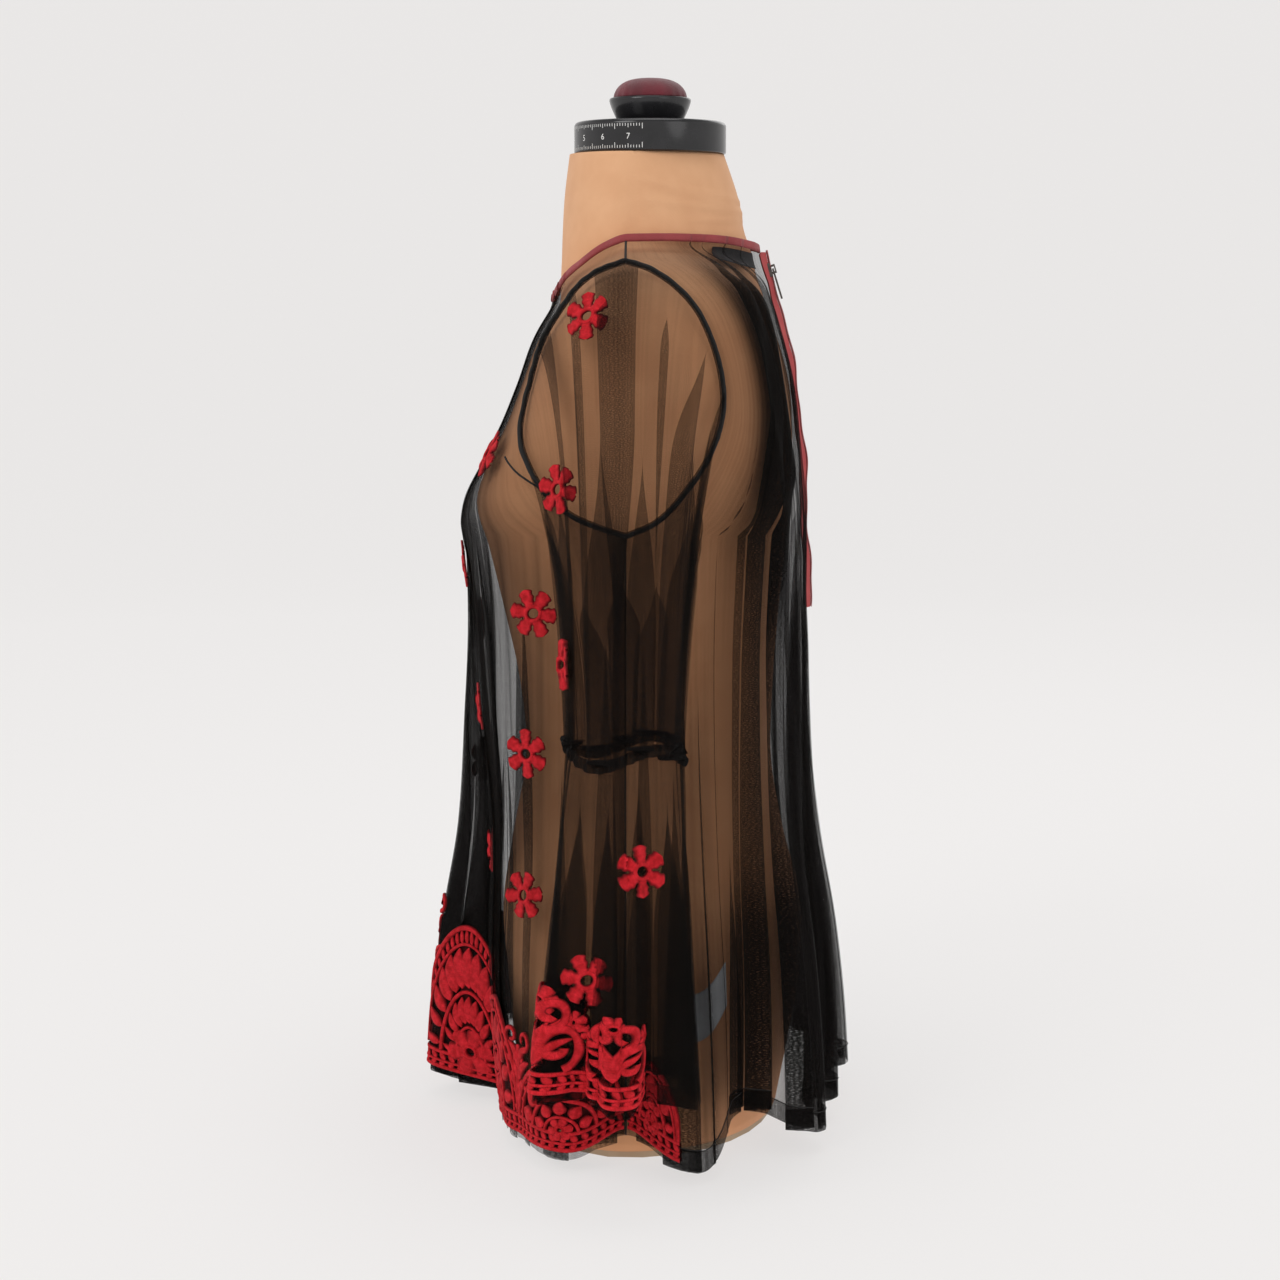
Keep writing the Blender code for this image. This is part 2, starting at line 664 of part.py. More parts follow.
def build_sleeves(panels):
    sleeves = {}
    for side, word in ((1, "left"), (-1, "right")):
        upper, away = sleeve_grid(panels, side)
        bell = bell_grid(side)
        band = band_grid(upper, bell, side)
        for kind, grid, wall in (
            ("sleeve", upper, CLOTH_WALL), ("bell", bell, CLOTH_WALL), ("elbow_band", band, BAND_WALL),
        ):
            shown = outward(grid, side)
            normal = grid_normals(shown, around=True)
            seam = {"sleeve": 0, "bell": -1}.get(kind)
            if seam is not None:
                normal[seam, :, 2] = 0
                normal[seam] /= np.linalg.norm(normal[seam], axis=1)[:, None]
            if kind == "sleeve":
                normal[-1] = outward(away[None], side)[0]
            grid_wall(f"{kind}_{word}", shown, normal, wall, "net", around=True)
            sleeves[f"{kind}_{word}"] = (shown, normal)
    return sleeves


# Binding, zip and labels

def box_sweep(name, path, up, out, height, thick, material):
    """A bar of rectangular section along a path, its underside on the path."""
    path, up, out = (np.asarray(v) for v in (path, up, out))
    low_out, low_in = path + out * thick / 2, path - out * thick / 2
    high_out, high_in = low_out + up * height, low_in + up * height
    count = len(path)
    points = np.concatenate((low_out, high_out, high_in, low_in))
    faces = []
    for k in range(4):
        a, b = k * count, ((k + 1) % 4) * count
        for i in range(count - 1):
            faces += [(a + i, a + i + 1, b + i + 1), (a + i, b + i + 1, b + i)]
    for i, order in ((0, (0, 1, 2, 3)), (count - 1, (3, 2, 1, 0))):
        a, b, c, d = (k * count + i for k in order)
        faces += [(a, b, c), (a, c, d)]
    return add_object(name, points, faces, material)


def build_binding(panels):
    """The bound edge of the neck, which stands up on the panels and is open at the zip."""
    edge, rise = [], []
    for name in ("back_right", "front_panel", "back_left"):
        grid, normal, _ = panels[name]
        columns = list(range(0, grid.shape[1], 2))
        if columns[-1] != grid.shape[1] - 1:
            columns.append(grid.shape[1] - 1)
        if name != "back_right":
            columns = columns[1:]
        for c in columns:
            way = grid[-1, c] - grid[-2, c]
            edge.append(grid[-1, c] - normal[-1, c] * CLOTH_WALL / 2)
            rise.append(way / np.linalg.norm(way))
    edge, rise = np.array(edge), np.array(rise)
    for _ in range(2):
        rise[1:-1] = (rise[:-2] + 2 * rise[1:-1] + rise[2:]) / 4
    flat = np.linalg.norm(rise[:, :2], axis=1)[:, None]
    up = rise + (0, 0, BINDING_STAND)
    up /= np.linalg.norm(up, axis=1)[:, None]
    along = np.gradient(edge, axis=0)
    along /= np.linalg.norm(along, axis=1)[:, None]
    out = np.cross(along, up)
    out /= np.linalg.norm(out, axis=1)[:, None]
    path = edge + rise * (SEAM_GAP * 1.2 + BINDING_THICK / 2 * flat)
    path[0, 0] -= ZIP_TEETH_WIDTH / 2 + SEAM_GAP
    path[-1, 0] += ZIP_TEETH_WIDTH / 2 + SEAM_GAP
    box_sweep("neck_binding", path, up, out, BINDING_HEIGHT, BINDING_THICK, "binding")


def build_zip(panels):
    """Tapes on the backs, the closed teeth between them and the stop under them."""
    edge = {}
    for word, column in (("left", -1), ("right", 0)):
        grid, normal, _ = panels[f"back_{word}"]
        rows = [r for r in range(grid.shape[0]) if grid[r, column, 2] >= ZIP_BOTTOM_Z]
        count = grid.shape[1]
        lines = []
        for across in (ZIP_TEETH_WIDTH / 2 + SEAM_GAP, ZIP_TAPE_WIDTH * 0.55, ZIP_TAPE_WIDTH):
            line = []
            for r in rows:
                row = grid[r][::-1] if word == "left" else grid[r]
                way = normal[r][::-1] if word == "left" else normal[r]
                spot = np.interp(across, np.abs(row[:, 0][: count // 2]), np.arange(count // 2))
                here = grid_value(np.stack((row, row)), 0, spot)
                out = way[int(round(spot))]
                line.append((here, out))
            lines.append(line)
        grid_out = np.array([[p + n * (SEAM_GAP + TAPE_WALL) for p, n in line] for line in lines])
        grid_in = np.array([[p + n * SEAM_GAP for p, n in line] for line in lines])
        grid_out, grid_in = grid_out.transpose(1, 0, 2), grid_in.transpose(1, 0, 2)
        faces = grid_faces(*grid_out.shape[:2])
        plate(f"zip_tape_{word}", faces, grid_out.reshape(-1, 3), grid_in.reshape(-1, 3), "tape")
        edge[word] = [grid[r, column] for r in rows]
    middle = (np.array(edge["left"]) + np.array(edge["right"])) / 2
    middle[:, 0] = 0
    middle[:, 1] += SEAM_GAP
    rise = np.gradient(middle, axis=0)
    rise /= np.linalg.norm(rise, axis=1)[:, None]
    out = np.stack((np.zeros(len(rise)), rise[:, 2], -rise[:, 1]), 1)
    across = np.tile((1.0, 0.0, 0.0), (len(middle), 1))
    box_sweep("zip_teeth", middle, out, across, ZIP_TEETH_THICK, ZIP_TEETH_WIDTH, "teeth")
    return middle, out


def add_box(name, centre, size, material, hidden=False):
    points = [
        Vector(centre) + Vector((size[0] * x, size[1] * y, size[2] * z)) / 2
        for x in (-1, 1) for y in (-1, 1) for z in (-1, 1)
    ]
    quads = ((0, 1, 3, 2), (4, 6, 7, 5), (0, 4, 5, 1), (2, 3, 7, 6), (0, 2, 6, 4), (1, 5, 7, 3))
    item = add_object(name, points, list(quads), material)
    if hidden:
        item.hide_render = True
        item.display_type = "WIRE"
    return item


def combine(item, other, operation):
    change = item.modifiers.new(other.name, "BOOLEAN")
    change.operation = operation
    change.object = other
    change.solver = "EXACT"


def build_slider(middle, out):
    """The slider with its bail, and the pull that hangs in it on an axis along X."""
    heights = middle[:, 2]
    face_y = float(np.interp(SLIDER_Z, heights, middle[:, 1]))
    tilt_y = float(np.interp(SLIDER_Z, heights, out[:, 1]))
    tilt_z = float(np.interp(SLIDER_Z, heights, out[:, 2]))
    lean = math.atan2(tilt_z, tilt_y)
    base_y = ZIP_TEETH_THICK + SEAM_GAP
    holder = bpy.data.objects.new("slider_place", None)
    bpy.context.collection.objects.link(holder)
    holder.location = (0, face_y, SLIDER_Z)
    holder.rotation_euler = (lean, 0, 0)
    plate_y = base_y + SLIDER_SIZE[1] / 2
    bail_y = base_y + SLIDER_SIZE[1] + BAIL_SIZE[1] / 2 - 0.0006
    body = add_box("zip_slider", (0, plate_y, 0), SLIDER_SIZE, "metal")
    bail = add_box("bail_guide", (0, bail_y, 0), BAIL_SIZE, "metal", hidden=True)
    eye_y = base_y + SLIDER_SIZE[1] + 0.0002 + BAIL_EYE[0] / 2
    eye_size = (BAIL_SIZE[0] * 2, BAIL_EYE[0], BAIL_EYE[1])
    eye = add_box("bail_eye_guide", (0, eye_y, 0), eye_size, "metal", hidden=True)
    combine(body, bail, "UNION")
    combine(body, eye, "DIFFERENCE")
    pivot_y = eye_y
    pull = add_box(
        "zip_pull",
        (0, 0, PULL_BAR / 2 - PULL_LENGTH / 2),
        (PULL_WIDTH, PULL_THICK, PULL_LENGTH),
        "metal",
    )
    window = add_box(
        "pull_eye_guide",
        (0, 0, -PULL_BAR / 2 - PULL_EYE[1] / 2),
        (PULL_EYE[0], PULL_THICK * 3, PULL_EYE[1]),
        "metal",
        hidden=True,
    )
    combine(pull, window, "DIFFERENCE")
    axis = bpy.data.objects.new("pull_axis", None)
    bpy.context.collection.objects.link(axis)
    axis.location = (0, pivot_y, 0)
    for child in (body, bail, eye, axis):
        child.parent = holder
    pull.parent = axis
    window.parent = axis


def inside_plate(name, panel, rows_at, places_at, drop, wall, material):
    """A thin label that hangs just inside a panel."""
    grid, normal, places = panel
    outer, inner = [], []
    for row_at in rows_at:
        for place in places_at:
            column = float(np.interp(place, places, np.arange(len(places))))
            point = grid_value(grid, row_at, column)
            way = grid_value(normal, row_at, column)
            way = way / np.linalg.norm(way)
            outer.append(point - way * (CLOTH_WALL + drop))
            inner.append(point - way * (CLOTH_WALL + drop + wall))
    plate(name, grid_faces(len(rows_at), len(places_at)), outer, inner, material)


def build_labels(panels):
    back = panels["back_left"]
    top = back[0].shape[0] - 1
    rows = [top - drop for drop in NECK_LABEL_DROPS]
    for name, at, places, (drop, wall), material in (
        ("neck_label", rows, NECK_LABEL_PLACES, NECK_LABEL_DROP_WALL, "black_label"),
        ("care_label", CARE_LABEL_ROWS, CARE_LABEL_PLACES, CARE_LABEL_DROP_WALL, "white_label"),
    ):
        inside_plate(name, back, at, places, drop, wall, material)


# Lace and flowers

def sample_points(points, faces, step=0.004):
    """Points spread over triangles, for a test of clearance."""
    spread = []
    for f in faces:
        a, b, c = (points[k] for k in f)
        size = max(np.linalg.norm(b - a), np.linalg.norm(c - a), np.linalg.norm(c - b))
        count = max(2, int(size / step))
        for i in range(count + 1):
            for j in range(count + 1 - i):
                u, v = i / count, j / count
                spread.append(a + (b - a) * u + (c - a) * v)
    return spread


def lift_needed(points, faces, tree):
    """How much further out a sheet has to lie to clear a panel by the seam gap."""
    worst = 1.0
    for p in sample_points(points, faces):
        place, normal, _, _ = tree.find_nearest(Vector(p), 0.03)
        if place is not None:
            worst = min(worst, (Vector(p) - place).dot(normal))
    return max(0.0, SEAM_GAP * 1.15 - worst)


def lifted_plate(name, faces, base, away, tree, wall, material):
    """A trim of even thickness, moved out until it clears the panel beneath."""
    lift = SEAM_GAP * 1.15
    for _ in range(4):
        inner = base + away * lift
        more = lift_needed(inner, faces, tree)
        if more < 1e-6:
            break
        lift += more * 1.05
    return plate(name, faces, base + away * (lift + wall), base + away * lift, material)


def arch_faces(work, centre, height, windows, half, foot):
    """One scallop of lace, as flat faces: a fan, a ring of windows and a rim."""
    marks = [0.0]
    for k in range(windows):
        middle = math.pi * (k + 0.5) / windows
        marks += [middle - WINDOW_HALF_ANGLE, middle + WINDOW_HALF_ANGLE]
    marks.append(math.pi)

    def spot(share, angle):
        x, y = centre + half * share * math.cos(angle), foot + height * share * math.sin(angle)
        return work.verts.new((x, y, 0))

    hub = spot(0.0, 0.0)
    loops = [[spot(share, a) for a in marks] for share in (*WINDOW_RINGS, 1.0)]
    for i in range(len(marks) - 1):
        work.faces.new((hub, loops[0][i], loops[0][i + 1]))
        if i % 2 == 0:
            work.faces.new((loops[0][i], loops[1][i], loops[1][i + 1], loops[0][i + 1]))
        work.faces.new((loops[1][i], loops[2][i], loops[2][i + 1], loops[1][i + 1]))
    return [loops[2][0], loops[1][0], loops[0][0], hub, loops[0][-1], loops[1][-1], loops[2][-1]]


def flat_border(arches, half, low, foot, cuts):
    """A lace border in the flat: arches on a band, cut where the panel bends."""
    work = bmesh.new()
    lower = {}

    def under(vert):
        key = round(vert.co.x, 6)
        if key not in lower:
            lower[key] = work.verts.new((vert.co.x, low, 0))
        return lower[key]

    for centre, height, windows in arches:
        line = arch_faces(work, centre, height, windows, half, foot)[::-1]
        for a, b in zip(line, line[1:]):
            work.faces.new((under(a), under(b), b, a))
    bmesh.ops.remove_doubles(work, verts=list(work.verts), dist=1e-6)
    for cut in cuts:
        geometry = list(work.verts) + list(work.edges) + list(work.faces)
        bmesh.ops.bisect_plane(work, geom=geometry, dist=1e-5, plane_co=(cut, 0, 0), plane_no=(1, 0, 0))
    bmesh.ops.triangulate(work, faces=list(work.faces))
    bmesh.ops.recalc_face_normals(work, faces=list(work.faces))
    work.verts.index_update()
    points = np.array([v.co[:2] for v in work.verts])
    faces = []
    for face in work.faces:
        order = [v.index for v in face.verts]
        a, b, c = (points[k] for k in order)
        turn = (b[0] - a[0]) * (c[1] - a[1]) - (b[1] - a[1]) * (c[0] - a[0])
        faces.append(tuple(order if turn > 0 else order[::-1]))
    work.free()
    return points, faces


def row_lengths(line):
    """Lengths along a row of points, from its first point."""
    return np.concatenate(((0,), np.cumsum(np.linalg.norm(np.diff(line, axis=0), axis=1))))


def lace_on(name, grid, normal, arches, half, start, row_height, tree):
    """A border on a panel's hem, its lengths measured along the panel's second row."""
    lengths = row_lengths(grid[1])
    cuts = lengths - start
    points, faces = flat_border(arches, half, LACE_LOW, LACE_FOOT, cuts)
    base, away = [], []
    for along, up in points:
        column = float(np.interp(along + start, lengths, np.arange(len(lengths))))
        row = (up + LACE_RISE) / row_height
        base.append(grid_value(grid, row, column))
        away.append(grid_value(normal, row, column))
    away = np.array(away)
    away /= np.linalg.norm(away, axis=1)[:, None]
    lifted_plate(name, faces, np.array(base), away, tree, TRIM_WALL, "lace")


def border_arches(start, end, kinds):
    """Arches that fill a length, each with its centre, and half their width."""
    half = (end - start) / len(kinds) / 2
    return [(start + half * (2 * k + 1), *kind) for k, kind in enumerate(kinds)], half


def build_lace(panels, sleeves):
    """Borders on the front hem and on the front half of each bell."""
    grid, normal, places = panels["front_panel"]
    lengths = row_lengths(grid[1])
    middle = float(np.interp(0.0, places, lengths))
    row_height = (UNDERARM_Z - HEM_LEVEL) / SKIRT_ROWS
    kinds = (*reversed(FRONT_ARCHES), *FRONT_ARCHES)
    start, end = LACE_MARGIN - middle, lengths[-1] - LACE_MARGIN - middle
    arches, half = border_arches(start, end, kinds)
    lace_on("front_lace", grid, normal, arches, half, middle, row_height, outer_tree(grid))
    row_height = (ELBOW_Z - BELL_HEM_Z) / BELL_ROWS
    for word, side in (("left", 1), ("right", -1)):
        bell, bell_normal = sleeves[f"bell_{word}"]
        count = bell.shape[1]
        first, last = (round(p * count) for p in BELL_LACE)
        columns = list(range(first, last + 1))
        if side > 0:
            columns = [count - 1 - c for c in reversed(columns)]
        part, way = bell[:, columns], bell_normal[:, columns]
        length = row_lengths(part[1])[-1]
        arches, half = border_arches(LACE_MARGIN, length - LACE_MARGIN, BELL_ARCHES)
        tree = outer_tree(bell, around=True)
        lace_on(f"bell_lace_{word}", part, way, arches, half, 0.0, row_height, tree)


def flower_sheet():
    """The flower's outline, eye and triangles in the flat."""
    step = math.pi / PETALS
    rim = []
    for k in range(2 * PETALS):
        r = FLOWER_RADIUS if k % 2 else FLOWER_WAIST
        rim.append((r * math.cos(k * step), r * math.sin(k * step)))
    turns = [2 * k * step for k in range(PETALS)]
    eye = [(FLOWER_EYE * math.cos(a), FLOWER_EYE * math.sin(a)) for a in turns]
    faces = []
    for k in range(PETALS):
        waist, tip, after = 2 * k, 2 * k + 1, (2 * k + 2) % (2 * PETALS)
        mine, following = 2 * PETALS + k, 2 * PETALS + (k + 1) % PETALS
        faces += [(mine, waist, tip), (mine, tip, following), (following, tip, after)]
    return np.array(rim + eye), faces


def add_flower(name, tree, view, across, z, turn):
    """A flower that lies flat against the panel, seen from the front or the side."""
    if view == "front":
        hit = tree.ray_cast(Vector((across, -0.5, z)), Vector((0, 1, 0)))
    else:
        side = -1 if view == "side_right" else 1
        hit = tree.ray_cast(Vector((0.6 * side, across, z)), Vector((-side, 0, 0)))
    place, normal = hit[0], hit[1]
    centre, out = np.array(place), np.array(normal)
    up = np.array((0.0, 0.0, 1.0)) - out * out[2]
    up /= np.linalg.norm(up)
    right = np.cross(up, out)
    flat, faces = flower_sheet()
    a = math.radians(turn)
    spun = flat @ np.array(((math.cos(a), math.sin(a)), (-math.sin(a), math.cos(a))))
    base = centre + spun[:, :1] * right + spun[:, 1:] * up
    away = np.tile(out, (len(base), 1))
    lifted_plate(name, faces, base, away, tree, TRIM_WALL, "lace")


def build_flowers(panels, sleeves):
    tree = outer_tree(panels["front_panel"][0])
    for number, row in enumerate(FRONT_FLOWERS, 1):
        add_flower(f"flower_front_{number:02d}", tree, *row)
    for word, side in (("left", 1), ("right", -1)):
        for kind, rows in (("sleeve", SLEEVE_FLOWERS), ("bell", BELL_FLOWERS)):
            tree = outer_tree(sleeves[f"{kind}_{word}"][0], around=True)
            for number, (view, across, z, turn) in enumerate(rows, 1):
                if side < 0:
                    turn = turn + 17
                    across = -across if view == "front" else across
                    view = "side_right" if view == "side" else view
                add_flower(f"flower_{kind}_{word}_{number}", tree, view, across, z, turn)


# Dress form

def build_form():
    """The covered torso and its board."""
    levels = [0.0060, 0.05, 0.11, 0.16, 0.215, 0.275, 0.33, 0.39, 0.44, 0.475, 0.505, 0.532]
    levels += [0.56, 0.599, 0.618, 0.636, 0.6465, 0.6535, 0.661, 0.669, 0.700, 0.733]
    half = FORM_SIDES // 2
    grid = []
    for z in levels:
        points = half_section(z, FORM_SECTIONS, FORM_NECK)
        length = row_lengths(points)
        at = np.linspace(0, length[-1], half + 1)
        left = np.stack([np.interp(at, length, points[:, k]) for k in (0, 1)], 1)
        right = left[1:-1][::-1] * (-1, 1)
        ring = np.concatenate((left, right))
        grid.append(np.column_stack((ring, np.full(len(ring), z))))
    grid = np.array(grid)
    faces = grid_faces(*grid.shape[:2], around=True)
    count = grid.shape[1]
    last = (len(levels) - 1) * count
    points = list(grid.reshape(-1, 3))
    points += [np.array((0, 0, levels[0])), np.array((0, 0, levels[-1]))]
    low, high = len(points) - 2, len(points) - 1
    for c in range(count):
        d = (c + 1) % count
        faces += [(low, d, c), (high, last + c, last + d)]
    add_object("form_torso", points, faces, "cover")
    ring = grid[0].copy()
    ring[:, :2] *= 1 - BOARD_INSET / FORM_SECTIONS[0][1]
    under, over = ring.copy(), ring.copy()
    under[:, 2], over[:, 2] = 0, BOARD_THICK
    prism("form_board", under, over, "board")


def prism(name, under, over, material):
    """A closed solid between two like rings, with fans for its ends."""
    count = len(under)
    points = [*under, *over, under.mean(0), over.mean(0)]
    faces = []
    for c in range(count):
        d = (c + 1) % count
        faces += [(c, d, count + d), (c, count + d, count + c)]
        faces += [(2 * count, d, c), (2 * count + 1, count + c, count + d)]
    add_object(name, points, faces, material)


def turned(name, profile, material, sides=32):
    """A solid turned about the form's axis from radius and height pairs."""
    rings = []
    turn = 2 * math.pi * np.arange(sides) / sides
    for radius, z in profile:
        rings.append(np.stack((radius * np.cos(turn), radius * np.sin(turn), np.full(sides, z)), 1))
    grid = np.array(rings)
    faces = grid_faces(len(profile), sides, around=True)
    points = list(grid.reshape(-1, 3))
    points += [np.array((0, 0, profile[0][1])), np.array((0, 0, profile[-1][1]))]
    low, high = len(points) - 2, len(points) - 1
    last = (len(profile) - 1) * sides
    for c in range(sides):
        d = (c + 1) % sides
        faces += [(low, d, c), (high, last + c, last + d)]
    add_object(name, points, faces, material)


def build_cap():
    """The neck cap, its collar and the pin cushion on top."""
    low, high = CAP_Z
    r, a, b = CAP_RADIUS, CAP_LOW_BEVEL, CAP_HIGH_BEVEL
    profile = ((r - a, low), (r, low + a), (r, high - b), (r - b, high))
    turned("neck_cap", profile, "black_plastic")
    low, high = COLLAR_Z
    r, a = COLLAR_RADIUS, CAP_LOW_BEVEL
    turned("knob_collar", ((r, low), (r, high - a), (r - a, high)), "black_plastic", 24)
    rise = PIN_TOP_Z - PIN_Z
    profile = []
    for k in range(5):
        a = math.radians(86) * k / 4
        profile.append((PIN_RADIUS * math.cos(a) ** PIN_FULLNESS, PIN_Z + rise * math.sin(a)))
    turned("pin_cushion", profile, "pin_cloth", 24)


def main():
    for item in list(bpy.data.objects):
        bpy.data.objects.remove(item, do_unlink=True)
    build_form()
    build_cap()
    panels = build_body()
    sleeves = build_sleeves(panels)
    build_binding(panels)
    middle, out = build_zip(panels)
    build_slider(middle, out)
    build_labels(panels)
    build_lace(panels, sleeves)
    build_flowers(panels, sleeves)


main()
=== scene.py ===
"""Looks of the embroidered bell sleeve blouse on its limbless dress form.

Metres, +Z up, the front toward -Y and the figure's left side at +X. The cloth
follows the same tables as the solids, sampled finer, with its creases, pleats,
seams and turned hems. "Place" goes round the body: 0 is centre front, 1 the left
side seam, 2 centre back, and minus is the right side.
"""

import math

import bpy
import numpy as np
from mathutils import Matrix, Vector
from mathutils.bvhtree import BVHTree


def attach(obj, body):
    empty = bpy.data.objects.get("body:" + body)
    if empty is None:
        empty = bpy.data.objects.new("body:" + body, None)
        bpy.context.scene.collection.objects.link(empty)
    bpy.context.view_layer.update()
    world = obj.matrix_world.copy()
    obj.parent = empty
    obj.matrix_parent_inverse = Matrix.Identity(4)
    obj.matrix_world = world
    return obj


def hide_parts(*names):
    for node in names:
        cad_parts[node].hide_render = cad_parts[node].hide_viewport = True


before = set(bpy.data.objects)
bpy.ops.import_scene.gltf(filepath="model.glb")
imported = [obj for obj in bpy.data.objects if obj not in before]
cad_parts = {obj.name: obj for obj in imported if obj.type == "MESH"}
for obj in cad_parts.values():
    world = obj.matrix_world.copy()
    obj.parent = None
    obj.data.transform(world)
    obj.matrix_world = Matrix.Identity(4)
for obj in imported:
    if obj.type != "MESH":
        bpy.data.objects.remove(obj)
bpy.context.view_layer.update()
BODY = "blouse_on_form"
SIDES = (("left", 1), ("right", -1))
RNG = np.random.default_rng(11)

# Sizes that the solids share
AXIS_Y = -0.018
UNDERARM_Z = 0.457
HEM_LEVEL = 0.020
FORM_SECTIONS = (
    (0.0060, 0.164, 0.100, 0.100, 2.1), (0.0500, 0.167, 0.106, 0.108, 2.2),
    (0.1100, 0.168, 0.111, 0.117, 2.4), (0.1600, 0.160, 0.114, 0.118, 2.5),
    (0.2150, 0.138, 0.106, 0.104, 2.4), (0.2750, 0.118, 0.096, 0.094, 2.3),
    (0.3300, 0.122, 0.100, 0.095, 2.3), (0.3900, 0.134, 0.112, 0.099, 2.5),
    (0.4400, 0.142, 0.123, 0.103, 3.0), (0.4750, 0.149, 0.131, 0.106, 3.5),
    (0.5050, 0.158, 0.121, 0.107, 3.4), (0.5320, 0.163, 0.108, 0.107, 3.2),
    (0.5600, 0.165, 0.097, 0.105, 3.1), (0.5990, 0.162, 0.081, 0.094, 3.2),
    (0.6180, 0.156, 0.068, 0.086, 3.2), (0.6360, 0.146, 0.055, 0.076, 3.0),
    (0.6465, 0.135, 0.044, 0.062, 2.6), (0.6535, 0.110, 0.035, 0.050, 2.2),
    (0.6610, 0.075, 0.024, 0.034, 2.0), (0.6690, 0.040, 0.022, 0.020, 2.0),
)
FORM_NECK = (
    (0.5900, 0.060, 0.055, 0.070, 2.0), (0.6220, 0.070, 0.0665, 0.079, 2.0),
    (0.6600, 0.070, 0.0670, 0.077, 2.0), (0.6740, 0.068, 0.0665, 0.072, 2.0),
    (0.7000, 0.062, 0.0650, 0.067, 2.0), (0.7330, 0.056, 0.0610, 0.056, 2.0),
)
CLOTH_SECTIONS = (
    (0.0000, 0.186, 0.1400, 0.1420, 2.6), (0.0800, 0.185, 0.1415, 0.1410, 2.6),
    (0.1390, 0.183, 0.1400, 0.1370, 2.6), (0.2160, 0.179, 0.1330, 0.1270, 2.6),
    (0.3160, 0.172, 0.1340, 0.1200, 2.7), (0.4000, 0.165, 0.1360, 0.1180, 3.0),
    (0.4400, 0.161, 0.1390, 0.1170, 3.5), (0.4570, 0.160, 0.1415, 0.1160, 3.8),
    (0.4750, 0.161, 0.1390, 0.1150, 3.8), (0.5050, 0.164, 0.1245, 0.1130, 3.5),
    (0.5320, 0.167, 0.1110, 0.1105, 3.3), (0.5600, 0.169, 0.0995, 0.1075, 3.1),
    (0.6000, 0.168, 0.0840, 0.0975, 3.2), (0.6220, 0.162, 0.0705, 0.0905, 3.3),
    (0.6400, 0.153, 0.0610, 0.0830, 3.0), (0.6510, 0.143, 0.0500, 0.0700, 2.6),
    (0.6580, 0.120, 0.0430, 0.0590, 2.2), (0.6660, 0.087, 0.0320, 0.0440, 2.0),
    (0.6740, 0.050, 0.0260, 0.0260, 2.0),
)
CLOTH_NECK = (
    (0.5900, 0.064, 0.0590, 0.0740, 2.0), (0.6220, 0.0745, 0.0715, 0.0835, 2.0),
    (0.6600, 0.0745, 0.0715, 0.0825, 2.0), (0.6740, 0.0725, 0.0710, 0.0775, 2.0),
)
FOLDS = np.array((
    (-2.00, 0.016, 0.40, 0.0260), (-1.87, -0.012, 0.44, 0.0250), (-1.73, 0.018, 0.48, 0.0190),
    (-1.60, -0.013, 0.50, 0.0260), (-1.46, 0.020, 0.46, 0.0170), (-1.30, -0.013, 0.44, 0.0300),
    (-1.15, 0.030, 0.34, 0.0160), (-1.00, -0.011, 0.38, 0.0260), (-0.83, 0.011, 0.36, 0.0180),
    (-0.64, -0.011, 0.42, 0.0220), (-0.44, 0.018, 0.45, 0.0180), (-0.21, -0.025, 0.44, 0.0240),
    (0.00, 0.033, 0.47, 0.0200), (0.20, -0.034, 0.45, 0.0120), (0.42, -0.020, 0.44, 0.0100),
    (0.62, -0.010, 0.43, 0.0110), (0.84, 0.011, 0.36, 0.0100), (1.00, -0.012, 0.40, 0.0220),
    (1.16, 0.036, 0.34, 0.0090), (1.33, -0.014, 0.47, 0.0380), (1.50, 0.021, 0.52, 0.0170),
    (1.63, -0.012, 0.47, 0.0250), (1.76, 0.006, 0.50, 0.0180), (1.88, -0.013, 0.42, 0.0260),
    (2.00, 0.016, 0.40, 0.0260),
))
FOLD_GROWTH = 1.3
ARMHOLE_FRONT = (
    (1.000, 0.457), (0.925, 0.463), (0.850, 0.471), (0.780, 0.484), (0.690, 0.509),
    (0.610, 0.535), (0.580, 0.560), (0.600, 0.593), (0.700, 0.622), (0.840, 0.641),
    (1.000, 0.651),
)
ARMHOLE_BACK = (
    (1.000, 0.457), (1.080, 0.466), (1.165, 0.488), (1.240, 0.517), (1.280, 0.552),
    (1.260, 0.590), (1.190, 0.626), (1.090, 0.645), (1.000, 0.651),
)
NECK_FRONT = ((0.00, 0.622), (0.18, 0.6295), (0.33, 0.641), (0.63, 0.657), (1.00, 0.666))
NECK_BACK = ((1.00, 0.666), (1.30, 0.6665), (1.60, 0.665), (1.80, 0.662), (2.00, 0.659))
ARMHOLE_SHARE = 7 / 9
SHOULDER_RISE = 0.022
SHOULDER_SPREAD = 0.12
QUARTER_LENGTH = 0.24
ELBOW_Z = 0.313
ELBOW_CENTRE = (0.221, -0.018)
ELBOW_RADII = (0.035, 0.040)
ELBOW_DIP = 0.006
BELL_CENTRE = (0.262, -0.023)
BELL_RADII = (0.044, 0.052)
BELL_HEM_Z = 0.082
BELL_FOLDS = np.array((
    (0.000, 0.011, -0.003), (0.085, -0.009, 0.004), (0.170, 0.013, 0.001),
    (0.245, -0.007, 0.004), (0.320, 0.010, -0.002), (0.420, -0.003, 0.002),
    (0.500, 0.004, 0.000), (0.580, -0.003, 0.003), (0.680, 0.007, -0.001),
    (0.760, -0.006, 0.004), (0.840, 0.012, -0.003), (0.920, -0.009, 0.003),
    (1.000, 0.011, -0.003),
))

